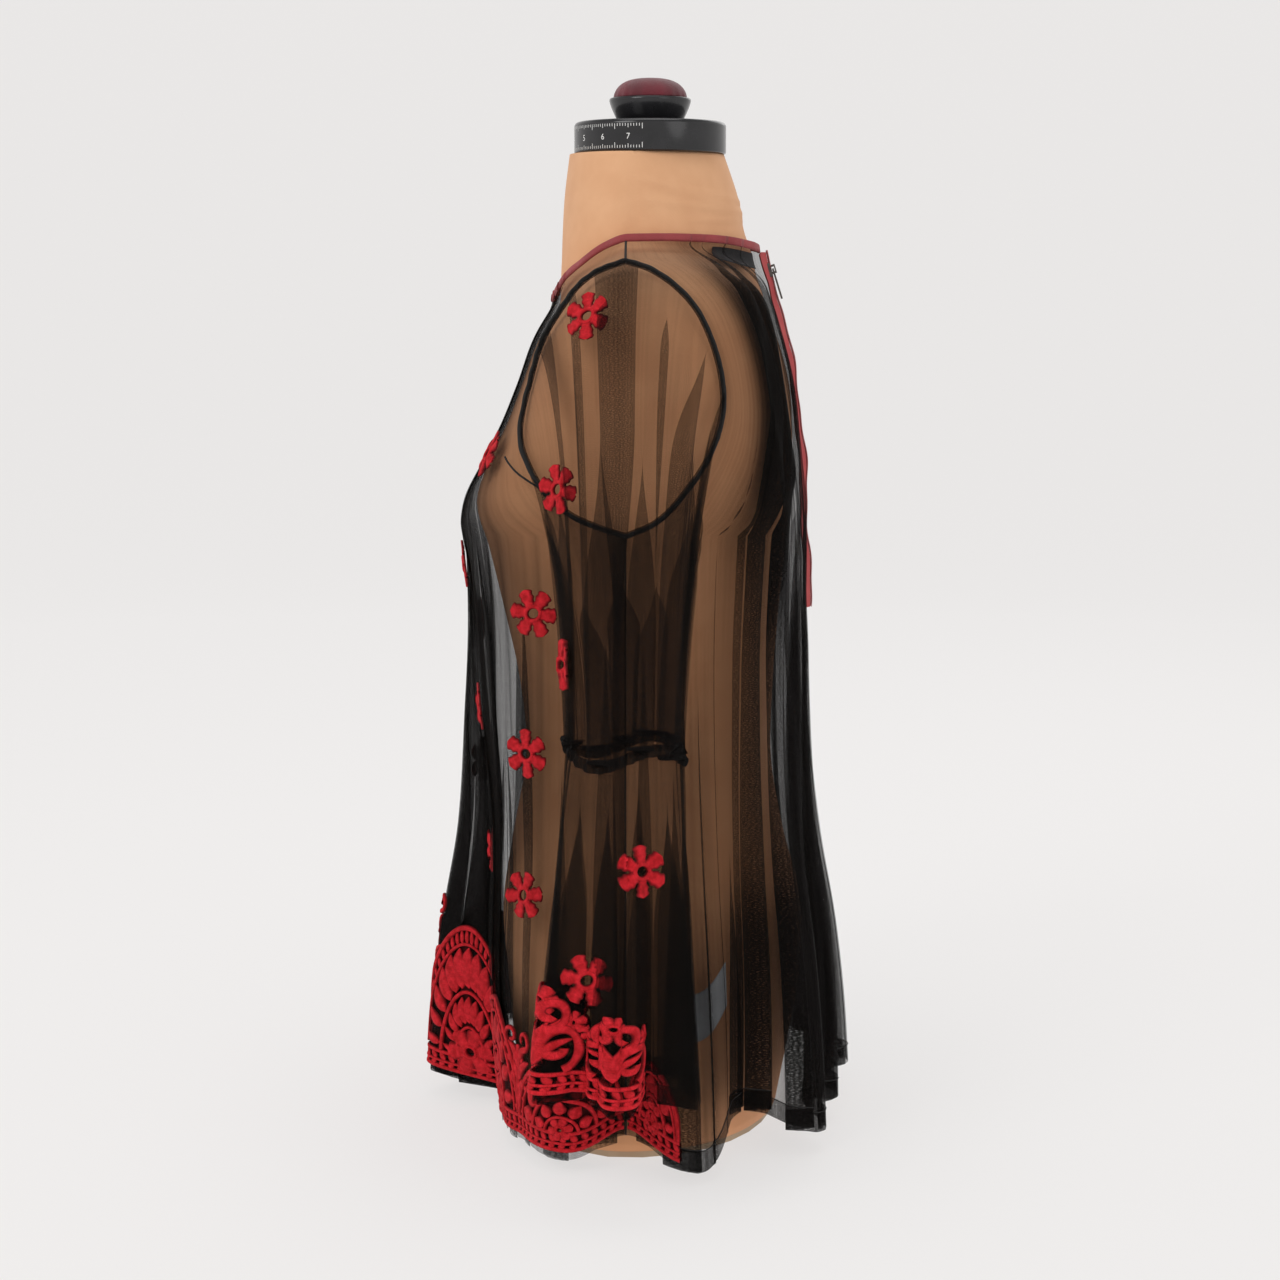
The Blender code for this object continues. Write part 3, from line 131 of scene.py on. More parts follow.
# Pleats that lie over: place, width, depth, height where each starts, and where
# it is full
PLEATS = (
    (1.13, 0.060, 0.0060, 0.360, 0.05), (1.05, 0.035, 0.0030, 0.450, 0.20),
    (1.37, 0.045, 0.0040, 0.690, 0.62), (1.45, 0.040, 0.0040, 0.680, 0.62),
    (1.30, 0.040, 0.0035, 0.280, 0.05), (1.53, 0.055, 0.0050, 0.640, 0.35),
    (1.60, 0.035, 0.0035, 0.690, 0.62), (1.665, 0.050, 0.0045, 0.560, 0.30),
    (1.26, 0.010, 0.0018, 0.560, 0.40), (1.325, 0.016, 0.0022, 0.660, 0.48),
    (1.205, 0.010, 0.0016, 0.420, 0.25),
    (1.73, 0.040, 0.0035, 0.690, 0.60), (1.80, 0.055, 0.0045, 0.600, 0.25),
    (1.87, 0.050, 0.0040, 0.420, 0.15), (1.94, 0.045, 0.0040, 0.350, 0.15),
    (0.94, 0.055, 0.0045, 0.440, 0.20), (0.81, 0.065, 0.0050, 0.360, 0.08),
    (0.68, 0.045, 0.0040, 0.470, 0.25), (0.58, 0.065, 0.0045, 0.400, 0.12),
    (0.49, 0.040, 0.0040, 0.500, 0.34), (0.39, 0.065, 0.0045, 0.380, 0.15),
    (0.30, 0.045, 0.0040, 0.480, 0.30), (0.21, 0.065, 0.0045, 0.330, 0.06),
    (0.12, 0.045, 0.0040, 0.490, 0.32), (0.035, 0.060, 0.0045, 0.400, 0.18),
    (-0.05, 0.040, 0.0040, 0.470, 0.28), (-0.14, 0.065, 0.0045, 0.320, 0.05),
    (-0.22, 0.045, 0.0040, 0.480, 0.30), (-0.31, 0.060, 0.0045, 0.370, 0.12),
    (-0.39, 0.040, 0.0040, 0.500, 0.32), (-0.49, 0.065, 0.0045, 0.310, 0.05),
    (-0.58, 0.045, 0.0040, 0.460, 0.24), (-0.70, 0.060, 0.0045, 0.380, 0.08),
    (-0.83, 0.065, 0.0050, 0.430, 0.15), (-0.95, 0.050, 0.0045, 0.350, 0.10),
    (-1.09, 0.050, 0.0040, 0.440, 0.20), (-1.20, 0.085, 0.0055, 0.350, 0.05),
    (0.035, 0.030, 0.0030, 0.680, 0.60), (-0.06, 0.034, 0.0030, 0.700, 0.61),
    (0.115, 0.038, 0.0030, 0.700, 0.60), (-0.15, 0.030, 0.0030, 0.680, 0.59),
    (0.205, 0.030, 0.0030, 0.690, 0.61), (-0.25, 0.036, 0.0030, 0.700, 0.60),
    (0.300, 0.026, 0.0025, 0.670, 0.60), (-0.35, 0.026, 0.0025, 0.680, 0.58),
    (-1.36, 0.040, 0.0040, 0.690, 0.62), (-1.44, 0.045, 0.0040, 0.660, 0.56),
    (-1.29, 0.040, 0.0035, 0.300, 0.05), (-1.52, 0.055, 0.0050, 0.560, 0.30),
    (-1.59, 0.035, 0.0035, 0.690, 0.60), (-1.66, 0.050, 0.0045, 0.620, 0.35),
    (-1.74, 0.040, 0.0035, 0.680, 0.58), (-1.81, 0.055, 0.0045, 0.520, 0.22),
    (-1.88, 0.045, 0.0040, 0.430, 0.15), (-1.95, 0.045, 0.0040, 0.330, 0.12),
)
# Creases: place, width, reach, top, low end, drift in place for each metre down
CREASES = (
    (1.42, 0.020, 0.0035, 0.640, 0.30, 0.25), (1.50, 0.022, 0.0040, 0.650, 0.10, 0.20),
    (1.58, 0.018, -0.0035, 0.640, 0.20, 0.15), (1.66, 0.020, 0.0040, 0.650, 0.05, 0.10),
    (1.75, 0.020, -0.0030, 0.630, 0.08, 0.05), (1.84, 0.020, 0.0035, 0.640, 0.05, 0.02),
    (1.93, 0.018, 0.0030, 0.600, 0.30, 0.00), (1.33, 0.022, 0.0030, 0.560, 0.20, 0.12),
    (1.25, 0.018, -0.0030, 0.480, 0.15, 0.05), (1.08, 0.020, 0.0030, 0.440, 0.12, 0.02),
    (0.90, 0.020, 0.0035, 0.460, 0.10, -0.05), (0.80, 0.022, -0.0030, 0.470, 0.15, -0.10),
    (0.66, 0.022, 0.0030, 0.500, 0.20, -0.10), (0.40, 0.030, 0.0030, 0.440, 0.10, -0.05),
    (0.33, 0.020, -0.0025, 0.430, 0.12, 0.00), (0.14, 0.022, 0.0025, 0.440, 0.10, 0.02),
    (-0.12, 0.022, 0.0025, 0.430, 0.12, 0.02), (-0.36, 0.022, -0.0025, 0.440, 0.10, 0.04),
    (-0.62, 0.022, 0.0030, 0.480, 0.15, 0.10), (-0.85, 0.020, 0.0030, 0.460, 0.12, 0.06),
    (-1.07, 0.020, 0.0030, 0.440, 0.10, -0.02), (-1.30, 0.022, 0.0030, 0.560, 0.18, -0.12),
    (-1.47, 0.022, 0.0040, 0.640, 0.10, -0.20), (-1.62, 0.020, 0.0038, 0.650, 0.08, -0.10),
    (-1.78, 0.020, -0.0030, 0.640, 0.06, -0.05), (-1.92, 0.018, 0.0030, 0.620, 0.10, 0.00),
)
FINE_CREASES = 90
ZIP_CALM = 0.28
# Where fine gathers make the net denser, in the same columns
GATHERED = (
    (0.00, 0.30, 1.00, 0.480, -0.10, 0.00), (0.50, 0.17, 0.95, 0.480, 0.22, 0.00),
    (-0.50, 0.20, 0.60, 0.470, 0.10, 0.00), (0.34, 0.22, 1.30, 0.640, 0.460, 0.00),
    (1.33, 0.090, 1.30, 0.665, 0.47, 0.00), (1.42, 0.055, 0.80, 0.665, 0.40, 0.03),
    (1.33, 0.030, 0.60, 0.665, 0.56, 0.12), (1.46, 0.040, 0.60, 0.660, 0.10, 0.03),
    (1.70, 0.130, 0.65, 0.665, 0.42, 0.00),
    (1.62, 0.110, 0.60, 0.430, -0.10, 0.00), (1.85, 0.110, 0.30, 0.430, -0.10, 0.00),
    (1.36, 0.016, 0.50, 0.560, 0.15, 0.01), (1.43, 0.012, 0.60, 0.655, 0.40, 0.10),
    (1.18, 0.045, 0.70, 0.350, -0.10, 0.00), (1.42, 0.260, 0.90, 0.210, -0.10, 0.00),
    (-1.40, 0.055, 0.60, 0.665, 0.40, -0.03), (-1.33, 0.030, 0.50, 0.665, 0.56, -0.12),
    (-1.70, 0.130, 0.65, 0.665, 0.42, 0.00), (-1.40, 0.260, 0.90, 0.230, -0.10, 0.00),
    (-1.62, 0.110, 0.40, 0.430, -0.10, 0.00), (-1.85, 0.110, 0.30, 0.430, -0.10, 0.00),
    (-1.38, 0.020, 0.45, 0.500, 0.15, -0.02),
    (-1.18, 0.045, 0.70, 0.350, -0.10, 0.00), (0.62, 0.014, 0.50, 0.500, 0.10, -0.04),
    (0.74, 0.010, 0.45, 0.480, 0.10, -0.04), (-0.62, 0.014, 0.50, 0.500, 0.10, 0.04),
)

# Cloth resolution
PLACE_STEP = 0.0042
SKIRT_ROWS = 44
TOP_ROWS = 60
HEM_TURN = 0.014
HEM_ROWS = 3
HEM_LIFT = 0.0006
# The grid row, with its fraction, that the body's turned hem reaches
HEM_LINE = HEM_TURN / (UNDERARM_Z - HEM_LEVEL) * SKIRT_ROWS


# Curves and sections

def smooth_curve(x, y, at):
    """Values on a smooth curve through the points given."""
    x, y = np.asarray(x, dtype=float), np.asarray(y, dtype=float)
    slope = np.gradient(y, x)
    at = np.clip(at, x[0], x[-1])
    i = np.clip(np.searchsorted(x, at, side="right") - 1, 0, len(x) - 2)
    step = x[i + 1] - x[i]
    t = (at - x[i]) / step
    t2, t3 = t * t, t * t * t
    start = (2 * t3 - 3 * t2 + 1) * y[i] + (t3 - 2 * t2 + t) * step * slope[i]
    return start + (3 * t2 - 2 * t3) * y[i + 1] + (t3 - t2) * step * slope[i + 1]


def lengths_along(points):
    """The length from the first point to each one."""
    step = np.linalg.norm(np.diff(points, axis=0), axis=1)
    return np.concatenate(((0,), np.cumsum(step)))


def between(at, length, points):
    """Points at the lengths given."""
    return np.stack([np.interp(at, length, values) for values in points.T], 1)


def evened(line, times):
    """A line with its small unevenness taken out."""
    line = line.copy()
    for _ in range(times):
        line[1:-1] = (line[:-2] + 2 * line[1:-1] + line[2:]) / 4
    return line


def full_turn(count):
    return np.linspace(0, 2 * math.pi, count, endpoint=False)


def reach(angle, z, sections):
    """How far one section stands from the axis, by angle from the front."""
    data = np.asarray(sections)
    width, front, back, square = (smooth_curve(data[:, 0], data[:, c], z) for c in (1, 2, 3, 4))
    depth = np.where(np.cos(angle) > 0, front + AXIS_Y, back - AXIS_Y)
    across, along = np.abs(np.sin(angle)) / width, np.abs(np.cos(angle)) / depth
    return (across**square + along**square) ** (-1 / square)


CURVE_STEPS = 60
BLEND_POWER = 14


def half_section(z, sections, neck):
    """The left half of a section, from front to back."""
    angle = np.linspace(0, math.pi, 2 * CURVE_STEPS + 1)
    far = reach(angle, z, sections)
    if z > neck[0][0]:
        near = reach(angle, z, neck)
        if z > sections[-1][0]:
            far = near
        else:
            far = (far**BLEND_POWER + near**BLEND_POWER) ** (1 / BLEND_POWER)
    return np.stack((far * np.sin(angle), AXIS_Y - far * np.cos(angle)), 1)


PLACE_STEPS = 240
HEIGHTS = np.linspace(-0.02, 0.70, 480)


def section_table(sections, neck):
    """Points and outward directions of the left half at even heights and places."""
    rows = []
    even = np.linspace(0, 2, PLACE_STEPS + 1)
    for z in HEIGHTS:
        points = half_section(z, sections, neck)
        length = lengths_along(points)
        side = length[CURVE_STEPS]
        past = 1 + (length - side) / (length[-1] - side)
        place = np.where(length <= side, length / side, past)
        line = between(even, place, points)
        along = np.gradient(line, axis=0)
        along[0], along[-1] = (1, 0), (-1, 0)
        out = np.stack((along[:, 1], -along[:, 0]), 1)
        out /= np.linalg.norm(out, axis=1)[:, None]
        rows.append(np.concatenate((line, out), 1))
    return np.array(rows)


CLOTH = section_table(CLOTH_SECTIONS, CLOTH_NECK)


def bilinear(table, row, column):
    """Values between the entries of a table, by fractional row and column."""
    row = np.clip(row, 0, table.shape[0] - 1.001)
    column = np.clip(column, 0, table.shape[1] - 1.001)
    r, c = row.astype(int), column.astype(int)
    v, u = (row - r)[..., None], (column - c)[..., None]
    low = table[r, c] * (1 - u) + table[r, c + 1] * u
    high = table[r + 1, c] * (1 - u) + table[r + 1, c + 1] * u
    return low * (1 - v) + high * v


def fold_share(place, folds=FOLDS):
    """The fold before a place, and the share of the way to the next one."""
    found = np.searchsorted(folds[:, 0], place, side="right") - 1
    i = np.clip(found, 0, len(folds) - 2)
    t = (place - folds[i, 0]) / (folds[i + 1, 0] - folds[i, 0])
    return i, 0.5 - 0.5 * np.cos(np.pi * np.clip(t, 0, 1))


def fold_reach(place, z):
    """How far the large folds move the cloth out."""
    i, share = fold_share(place)

    def grown(k):
        part = np.clip((FOLDS[k, 2] - z) / (FOLDS[k, 2] - HEM_LEVEL), 0, 1.05)
        return FOLDS[k, 1] * part**FOLD_GROWTH

    return grown(i) * (1 - share) + grown(i + 1) * share


def hem_height(place):
    i, share = fold_share(place)
    return FOLDS[i, 3] * (1 - share) + FOLDS[i + 1, 3] * share


def seeded_creases():
    """Small uneven creases all round, more of them low down."""
    place = np.linspace(-1.97, 1.97, FINE_CREASES) + RNG.uniform(-0.02, 0.02, FINE_CREASES)
    width = RNG.uniform(0.008, 0.017, FINE_CREASES)
    depth = RNG.uniform(0.0005, 0.0016, FINE_CREASES) * RNG.choice((-1, 1), FINE_CREASES)
    top = RNG.uniform(0.22, 0.62, FINE_CREASES)
    low = top - RNG.uniform(0.10, 0.50, FINE_CREASES)
    drift = RNG.uniform(-0.08, 0.08, FINE_CREASES)
    return np.stack((place, width, depth, top, low, drift), 1)


ALL_CREASES = np.concatenate((np.array(CREASES), seeded_creases()))


def ridges(table, place, z):
    """The sum of long ridges, each fading at its ends."""
    total = np.zeros(np.broadcast(place, z).shape)
    for at, width, amount, top, low, drift in table:
        centre = at + drift * (top - z)
        across = np.exp(-(((place - centre) / width) ** 2))
        up = 1 / (1 + np.exp((z - top + 0.02) / 0.012))
        down = 1 / (1 + np.exp((low - z) / 0.02))
        total += amount * across * up * down
    return total


def smooth_step(value):
    value = np.clip(value, 0, 1)
    return value * value * (3 - 2 * value)


def pleat_moves(place, down, table, period):
    """How far pleats shift cloth along its ring, and how far out, by how far down it is."""
    shift = np.zeros(np.broadcast(place, down).shape)
    out = np.zeros_like(shift)
    for at, width, depth, start, full, end in table:
        t = ((place - at + period / 2) % period - period / 2) / width
        grown = smooth_step((down - start) / (full - start)) * smooth_step((end - down) / 0.5)
        inside = (np.abs(t) < 0.5) * grown
        wave = np.sin(2 * np.pi * t)
        shift -= inside * width * 1.25 * wave * np.cos(np.pi * t) ** 2
        out -= inside * depth * 0.5 * wave
    return shift, out


BODY_PLEATS = [(at, width, depth, -start, -full, 1.0) for at, width, depth, start, full in PLEATS]


# How far in the cloth may be pressed where it lies on the form, and further
# down, where it hangs free
PRESSED = 0.0010
FREE_INWARD = 0.0070


def body_points(place, z, pleated=True, column=None):
    """Points of the blouse's body; pleats follow the columns where they are given."""
    along = place if column is None else column
    shift, extra = pleat_moves(along, -z, BODY_PLEATS if pleated else (), 4.0)
    at = place + shift
    at = np.where(np.abs(at) > 2, at - 4 * np.sign(at), at)
    row = (z - HEIGHTS[0]) / (HEIGHTS[1] - HEIGHTS[0])
    found = bilinear(CLOTH, row, np.abs(at) / 2 * PLACE_STEPS)
    out = fold_reach(at, z)
    if pleated:
        beside_zip = np.exp(-(((2 - np.abs(at)) / ZIP_CALM) ** 2)) * smooth_step((z - 0.36) / 0.05)
        inward = PRESSED + FREE_INWARD * smooth_step((0.46 - z) / 0.05)
        out = out + np.maximum(ridges(ALL_CREASES, at, z) + extra, -inward) * (1 - beside_zip)
    side = np.where(at < 0, -1.0, 1.0)
    x = (found[..., 0] + found[..., 2] * out) * side
    y = found[..., 1] + found[..., 3] * out
    return np.stack((x, y, z + 0 * x), -1)


def grid_normals(grid, around=False):
    """Outward directions at a grid's points."""
    if around:
        across = np.roll(grid, -1, 1) - np.roll(grid, 1, 1)
    else:
        across = np.gradient(grid, axis=1)
    normal = np.cross(across, np.gradient(grid, axis=0))
    size = np.linalg.norm(normal, axis=2)[:, :, None]
    return normal / np.maximum(size, 1e-12)


def unit(vectors):
    return vectors / np.maximum(np.linalg.norm(vectors, axis=-1)[..., None], 1e-12)


# Materials

def material(name, colour, roughness, **inputs):
    """A Principled material; gives its tree and shader."""
    made = bpy.data.materials.new(name)
    made.use_nodes = True
    shader = made.node_tree.nodes["Principled BSDF"]
    shader.inputs["Base Color"].default_value = (*colour, 1)
    shader.inputs["Roughness"].default_value = roughness
    for label, value in inputs.items():
        shader.inputs[label.replace("_", " ").title()].default_value = value
    return made, made.node_tree, shader


def node(tree, kind, settings=(), inputs=()):
    made = tree.nodes.new("ShaderNode" + kind)
    for key, value in dict(settings).items():
        setattr(made, key, value)
    for key, value in dict(inputs).items():
        if isinstance(value, bpy.types.NodeSocket):
            tree.links.new(value, made.inputs[key])
        else:
            made.inputs[key].default_value = value
    return made


def coordinates(tree, scale=(1, 1, 1), source="Object"):
    """Coordinates of a surface, in metres times the scale."""
    place = node(tree, "TexCoord")
    stretch = node(tree, "Mapping", inputs={"Vector": place.outputs[source], "Scale": scale})
    return stretch.outputs["Vector"]


def map_range(tree, value, low, high, start, end):
    """A value that runs from start to end as another runs from low to high."""
    limits = {"From Min": low, "From Max": high, "To Min": start, "To Max": end}
    return node(tree, "MapRange", inputs={"Value": value, **limits}).outputs["Result"]


def multiply_colour(tree, shader, share, factor):
    """Multiplies the base colour by another, by the share given."""
    base = shader.inputs["Base Color"]
    mixed = node(
        tree, "Mix", {"data_type": "RGBA", "blend_type": "MULTIPLY"},
        {0: share, 6: base.links[0].from_socket, 7: factor},
    )
    tree.links.new(mixed.outputs[2], base)


def vary_colour(tree, shader, colour, other, scale):
    """A soft drift between two colours over the surface."""
    noise = node(tree, "TexNoise", inputs={"Vector": coordinates(tree), "Scale": scale, "Detail": 3.0})
    ramp = node(tree, "ValToRGB", inputs={"Fac": noise.outputs["Fac"]})
    ramp.color_ramp.elements[0].position = 0.3
    ramp.color_ramp.elements[1].position = 0.7
    ramp.color_ramp.elements[0].color = (*colour, 1)
    ramp.color_ramp.elements[1].color = (*other, 1)
    tree.links.new(ramp.outputs["Color"], shader.inputs["Base Color"])


def add_bump(tree, shader, height, distance, strength):
    bump = node(tree, "Bump", inputs={"Height": height, "Distance": distance, "Strength": strength})
    tree.links.new(bump.outputs["Normal"], shader.inputs["Normal"])


NET_CELL = 0.0013


def net_material(name, thin, thick):
    """Black net: cells of thread, with alpha between thin and thick, more where gathered."""
    made, tree, shader = material(name, (0.0045, 0.0036, 0.0032), 0.8)
    shader.inputs["Specular IOR Level"].default_value = 0.06
    vector = coordinates(tree, (1 / NET_CELL,) * 3, "UV")
    cells = node(
        tree, "TexVoronoi", {"feature": "DISTANCE_TO_EDGE", "voronoi_dimensions": "2D"},
        {"Vector": vector, "Scale": 1.0, "Randomness": 0.8},
    )
    thread = map_range(tree, cells.outputs["Distance"], 0.05, 0.30, thick, thin)
    streaks = coordinates(tree, (170.0, 5.0, 1.0), "UV")
    drift = node(
        tree, "TexNoise", {"noise_dimensions": "2D"}, {"Vector": streaks, "Scale": 1.0, "Detail": 0.0}
    )
    stretch = map_range(tree, drift.outputs["Fac"], 0.35, 0.70, 0.95, 1.12)
    streaked = node(tree, "Math", {"operation": "MULTIPLY"}, {0: thread, 1: stretch})
    dense = node(tree, "Attribute", {"attribute_name": "gathered"})
    alpha = node(
        tree, "Math", {"operation": "MULTIPLY_ADD", "use_clamp": True},
        {0: streaked.outputs["Value"], 1: dense.outputs["Fac"], 2: streaked.outputs["Value"]},
    )
    tree.links.new(alpha.outputs["Value"], shader.inputs["Alpha"])
    return made


# UV height of a stroke's edges, so that the lace's material can paint shade at them
EDGE_V = 0.001


def lace_material(name, colour, other):
    """Thick red thread in satin stitch, with painted shade darkening the foot of each stroke."""
    made, tree, shader = material(name, colour, 0.8)
    shader.inputs["Specular IOR Level"].default_value = 0.2
    vector = coordinates(tree, source="UV")
    wave = node(
        tree, "TexWave", {"wave_type": "BANDS", "bands_direction": "X"},
        {"Vector": vector, "Scale": 420.0, "Distortion": 3.5, "Detail": 2.0, "Detail Scale": 2.0},
    )
    vary_colour(tree, shader, colour, other, 220.0)
    # Painted shade: the colour is multiplied darker toward each stroke's edges, where it meets the cloth
    split = node(tree, "SeparateXYZ", inputs={"Vector": coordinates(tree, (1, 1 / EDGE_V, 1), "UV")})
    edge = node(tree, "Math", {"operation": "ABSOLUTE"}, {0: split.outputs["Y"]})
    shade = map_range(tree, edge.outputs["Value"], 0.55, 1.0, 1.0, 0.12)
    multiply_colour(tree, shader, 1.0, shade)
    add_bump(tree, shader, wave.outputs["Fac"], 0.0006, 0.9)
    return made


def woven_material(name, colour, other, roughness, pitch, depth, source="UV", **inputs):
    """Plain woven or knitted cloth with threads at the pitch given."""
    made, tree, shader = material(name, colour, roughness, **inputs)
    vector = coordinates(tree, (1 / pitch,) * 3, source)
    waves = [
        node(
            tree, "TexWave", {"wave_type": "BANDS", "bands_direction": way},
            {"Vector": vector, "Scale": 0.5, "Distortion": 0.6, "Detail": 1.0},
        )
        for way in ("X", "Y" if source == "UV" else "Z")
    ]
    both = node(
        tree, "Math", {"operation": "MULTIPLY"},
        {0: waves[0].outputs["Fac"], 1: waves[1].outputs["Fac"]},
    )
    vary_colour(tree, shader, colour, other, 45.0)
    add_bump(tree, shader, both.outputs["Value"], depth, 0.6)
    return made


def cover_material():
    """The form's knitted cover, with painted shade below the neck: darker and warmer where the blouse's
    net covers it.
    """
    made = woven_material(
        "form_cover", (0.69, 0.37, 0.195), (0.74, 0.415, 0.225), 0.85, 0.0011, 0.00012,
        source="Object", sheen_weight=0.05,
    )
    tree = made.node_tree
    # Painted shade: below the neck the colour is multiplied darker and warmer, for the net's tinted shade
    # on the cover
    height = node(tree, "SeparateXYZ", inputs={"Vector": coordinates(tree)})
    net_shade_share = map_range(tree, height.outputs["Z"], 0.60, 0.69, 1.0, 0.0)
    multiply_colour(tree, tree.nodes["Principled BSDF"], net_shade_share, (1.0, 0.86, 0.76, 1))
    return made


def hard_material(name, colour, other, roughness, grain, **inputs):
    """Plastic, metal or board with a faint grain."""
    made, tree, shader = material(name, colour, roughness, **inputs)
    vary_colour(tree, shader, colour, other, grain)
    noise = node(tree, "TexNoise", inputs={"Vector": coordinates(tree), "Scale": grain * 4, "Detail": 4.0})
    level = map_range(tree, noise.outputs["Fac"], 0.0, 1.0, roughness * 0.7, roughness * 1.3)
    tree.links.new(level, shader.inputs["Roughness"])
    add_bump(tree, shader, noise.outputs["Fac"], 0.00008, 0.5)
    return made


NET = net_material("black_net", 0.20, 0.42)
NET_BAND = net_material("black_net_gathered", 0.80, 0.98)
NET_SEAM = net_material("black_net_seam", 0.62, 0.92)
LACE = lace_material("red_lace", (0.50, 0.007, 0.012), (0.84, 0.022, 0.036))
# Painted shade: a dark copy of the red lace, laid under and between the raised stitches
LACE_PAINTED_SHADE = lace_material("red_lace_painted_shade", (0.035, 0.0015, 0.002), (0.09, 0.003, 0.004))
BINDING = woven_material(
    "binding_cloth", (0.25, 0.030, 0.034), (0.34, 0.048, 0.052), 0.8, 0.0006, 0.00015,
    sheen_weight=0.1,
)
TAPE = woven_material(
    "zip_tape_cloth", (0.42, 0.055, 0.060), (0.52, 0.085, 0.085), 0.8, 0.0007, 0.0002
)
COIL = hard_material("zip_coil", (0.34, 0.045, 0.050), (0.44, 0.07, 0.07), 0.4, 600.0)
METAL = hard_material("zip_metal", (0.075, 0.066, 0.062), (0.13, 0.115, 0.105), 0.34, 300.0, metallic=1.0)
COVER = cover_material()
BOARD = hard_material("board", (0.42, 0.30, 0.19), (0.52, 0.39, 0.26), 0.6, 30.0)
BLACK = hard_material("black_plastic", (0.010, 0.010, 0.011), (0.016, 0.016, 0.018), 0.18, 80.0)
WHITE = hard_material("white_marks", (0.80, 0.80, 0.78), (0.70, 0.70, 0.69), 0.5, 200.0)
VELVET = woven_material(
    "pin_cloth", (0.09, 0.004, 0.011), (0.15, 0.007, 0.018), 0.8, 0.0009, 0.0002,
    source="Object", sheen_weight=0.3,
)
BLACK_LABEL = woven_material(
    "black_label", (0.010, 0.010, 0.012), (0.020, 0.020, 0.023), 0.6, 0.0005, 0.0001
)
CARE = woven_material(
    "care_label", (0.36, 0.37, 0.39), (0.44, 0.46, 0.48), 0.6, 0.0005, 0.0001
)
THREAD = hard_material("black_thread", (0.004, 0.0035, 0.003), (0.008, 0.007, 0.0065), 0.9, 900.0)


# Meshes

def add_object(name, data):
    made = bpy.data.objects.new(name, data)
    bpy.context.scene.collection.objects.link(made)
    return made


def mesh_object(name, points, faces, finish, uv=None, smooth=True):
    """A mesh from points and faces, with UVs for each point in metres."""
    mesh = bpy.data.meshes.new(name)
    mesh.from_pydata(np.asarray(points).tolist(), [], [list(f) for f in faces])
    if uv is not None:
        layer = mesh.uv_layers.new(name="UVMap")
        corner = np.zeros(len(mesh.loops), dtype=np.int32)
        mesh.loops.foreach_get("vertex_index", corner)
        layer.data.foreach_set("uv", np.asarray(uv, dtype=np.float32)[corner].ravel())
    mesh.materials.append(finish)
    if smooth:
        mesh.polygons.foreach_set("use_smooth", np.ones(len(mesh.polygons), dtype=bool))
    return add_object(name, mesh)


def grid_quads(rows, columns, around=False):
    r, c = np.meshgrid(np.arange(rows - 1), np.arange(columns if around else columns - 1), indexing="ij")
    a, b = r * columns + c, r * columns + (c + 1) % columns
    return np.stack((a, b, b + columns, a + columns), -1).reshape(-1, 4)


def grid_uv(grid):
    """Lengths along a grid's mean row and its columns, so that a column keeps its U."""
    across = np.linalg.norm(np.diff(grid, axis=1), axis=2)
    up = np.linalg.norm(np.diff(grid, axis=0), axis=2)
    u = np.linspace(-0.5, 0.5, grid.shape[1])[None] * across.sum(1).mean()
    v = np.concatenate((np.zeros((1, grid.shape[1])), np.cumsum(up, 0)), 0)
    return np.stack(np.broadcast_arrays(u, v), -1).reshape(-1, 2)


def grid_object(name, grid, finish, around=False, dense=None):
    """A surface from a grid; a closed ring repeats its first column, so UVs don't fold back."""
    if around:
        grid = np.concatenate((grid, grid[:, :1]), 1)
    faces = grid_quads(*grid.shape[:2])
    made = mesh_object(name, grid.reshape(-1, 3), faces, finish, grid_uv(grid))
    if dense is not None:
        layer = made.data.attributes.new("gathered", "FLOAT", "POINT")
        layer.data.foreach_set("value", dense.astype(np.float32).ravel())
    return made


def with_hem(grid, normal, rows_up):
    """Adds the turned hem under a grid's first rows."""
    turned = []
    for k in range(HEM_ROWS, -1, -1):
        level = rows_up * k / HEM_ROWS
        r = int(level)
        part = level - r
        line = grid[r] * (1 - part) + grid[r + 1] * part
        lift = HEM_LIFT if k else HEM_LIFT / 2
        turned.append(line - normal[r] * lift)
    turned[-1] = turned[-1] - (0, 0, HEM_LIFT)
    return np.concatenate((np.array(turned), grid), 0)


def tube(path, radius, sides, way=(0.3, 0.2, 1.0)):
    """Points, faces and UVs of a round cord along a path."""
    along = unit(np.gradient(path, axis=0))
    side = unit(np.cross(along, np.broadcast_to(way, path.shape)))
    top = unit(np.cross(side, along))
    turn = full_turn(sides)
    ring = side[:, None] * np.cos(turn)[None, :, None] + top[:, None] * np.sin(turn)[None, :, None]
    points = path[:, None] + ring * radius
    u = np.repeat(lengths_along(path)[:, None], sides, 1)
    v = np.repeat(turn[None] * 0.001, len(path), 0)
    faces = grid_quads(len(path), sides, around=True)
    return points.reshape(-1, 3), faces, np.stack((u, v), -1).reshape(-1, 2)


def closed_rings(name, grid, low_z, high_z, finish):
    """A mesh of rings about the form's axis, with a fan over each end."""
    rows, count = grid.shape[:2]
    points = np.concatenate((grid.reshape(-1, 3), [(0, 0, low_z), (0, 0, high_z)]))
    faces = grid_quads(rows, count, around=True).tolist()
    low, high = len(points) - 2, len(points) - 1
    last = (rows - 1) * count
    for c in range(count):
        d = (c + 1) % count
        faces += [[low, d, c], [high, last + c, last + d]]
    return mesh_object(name, points, faces, finish)


def ride(made, *nodes, slot, body=BODY):
    """The piece moves with the body, and stands for the nodes named."""
    if nodes:
        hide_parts(*nodes)
    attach(made, body)


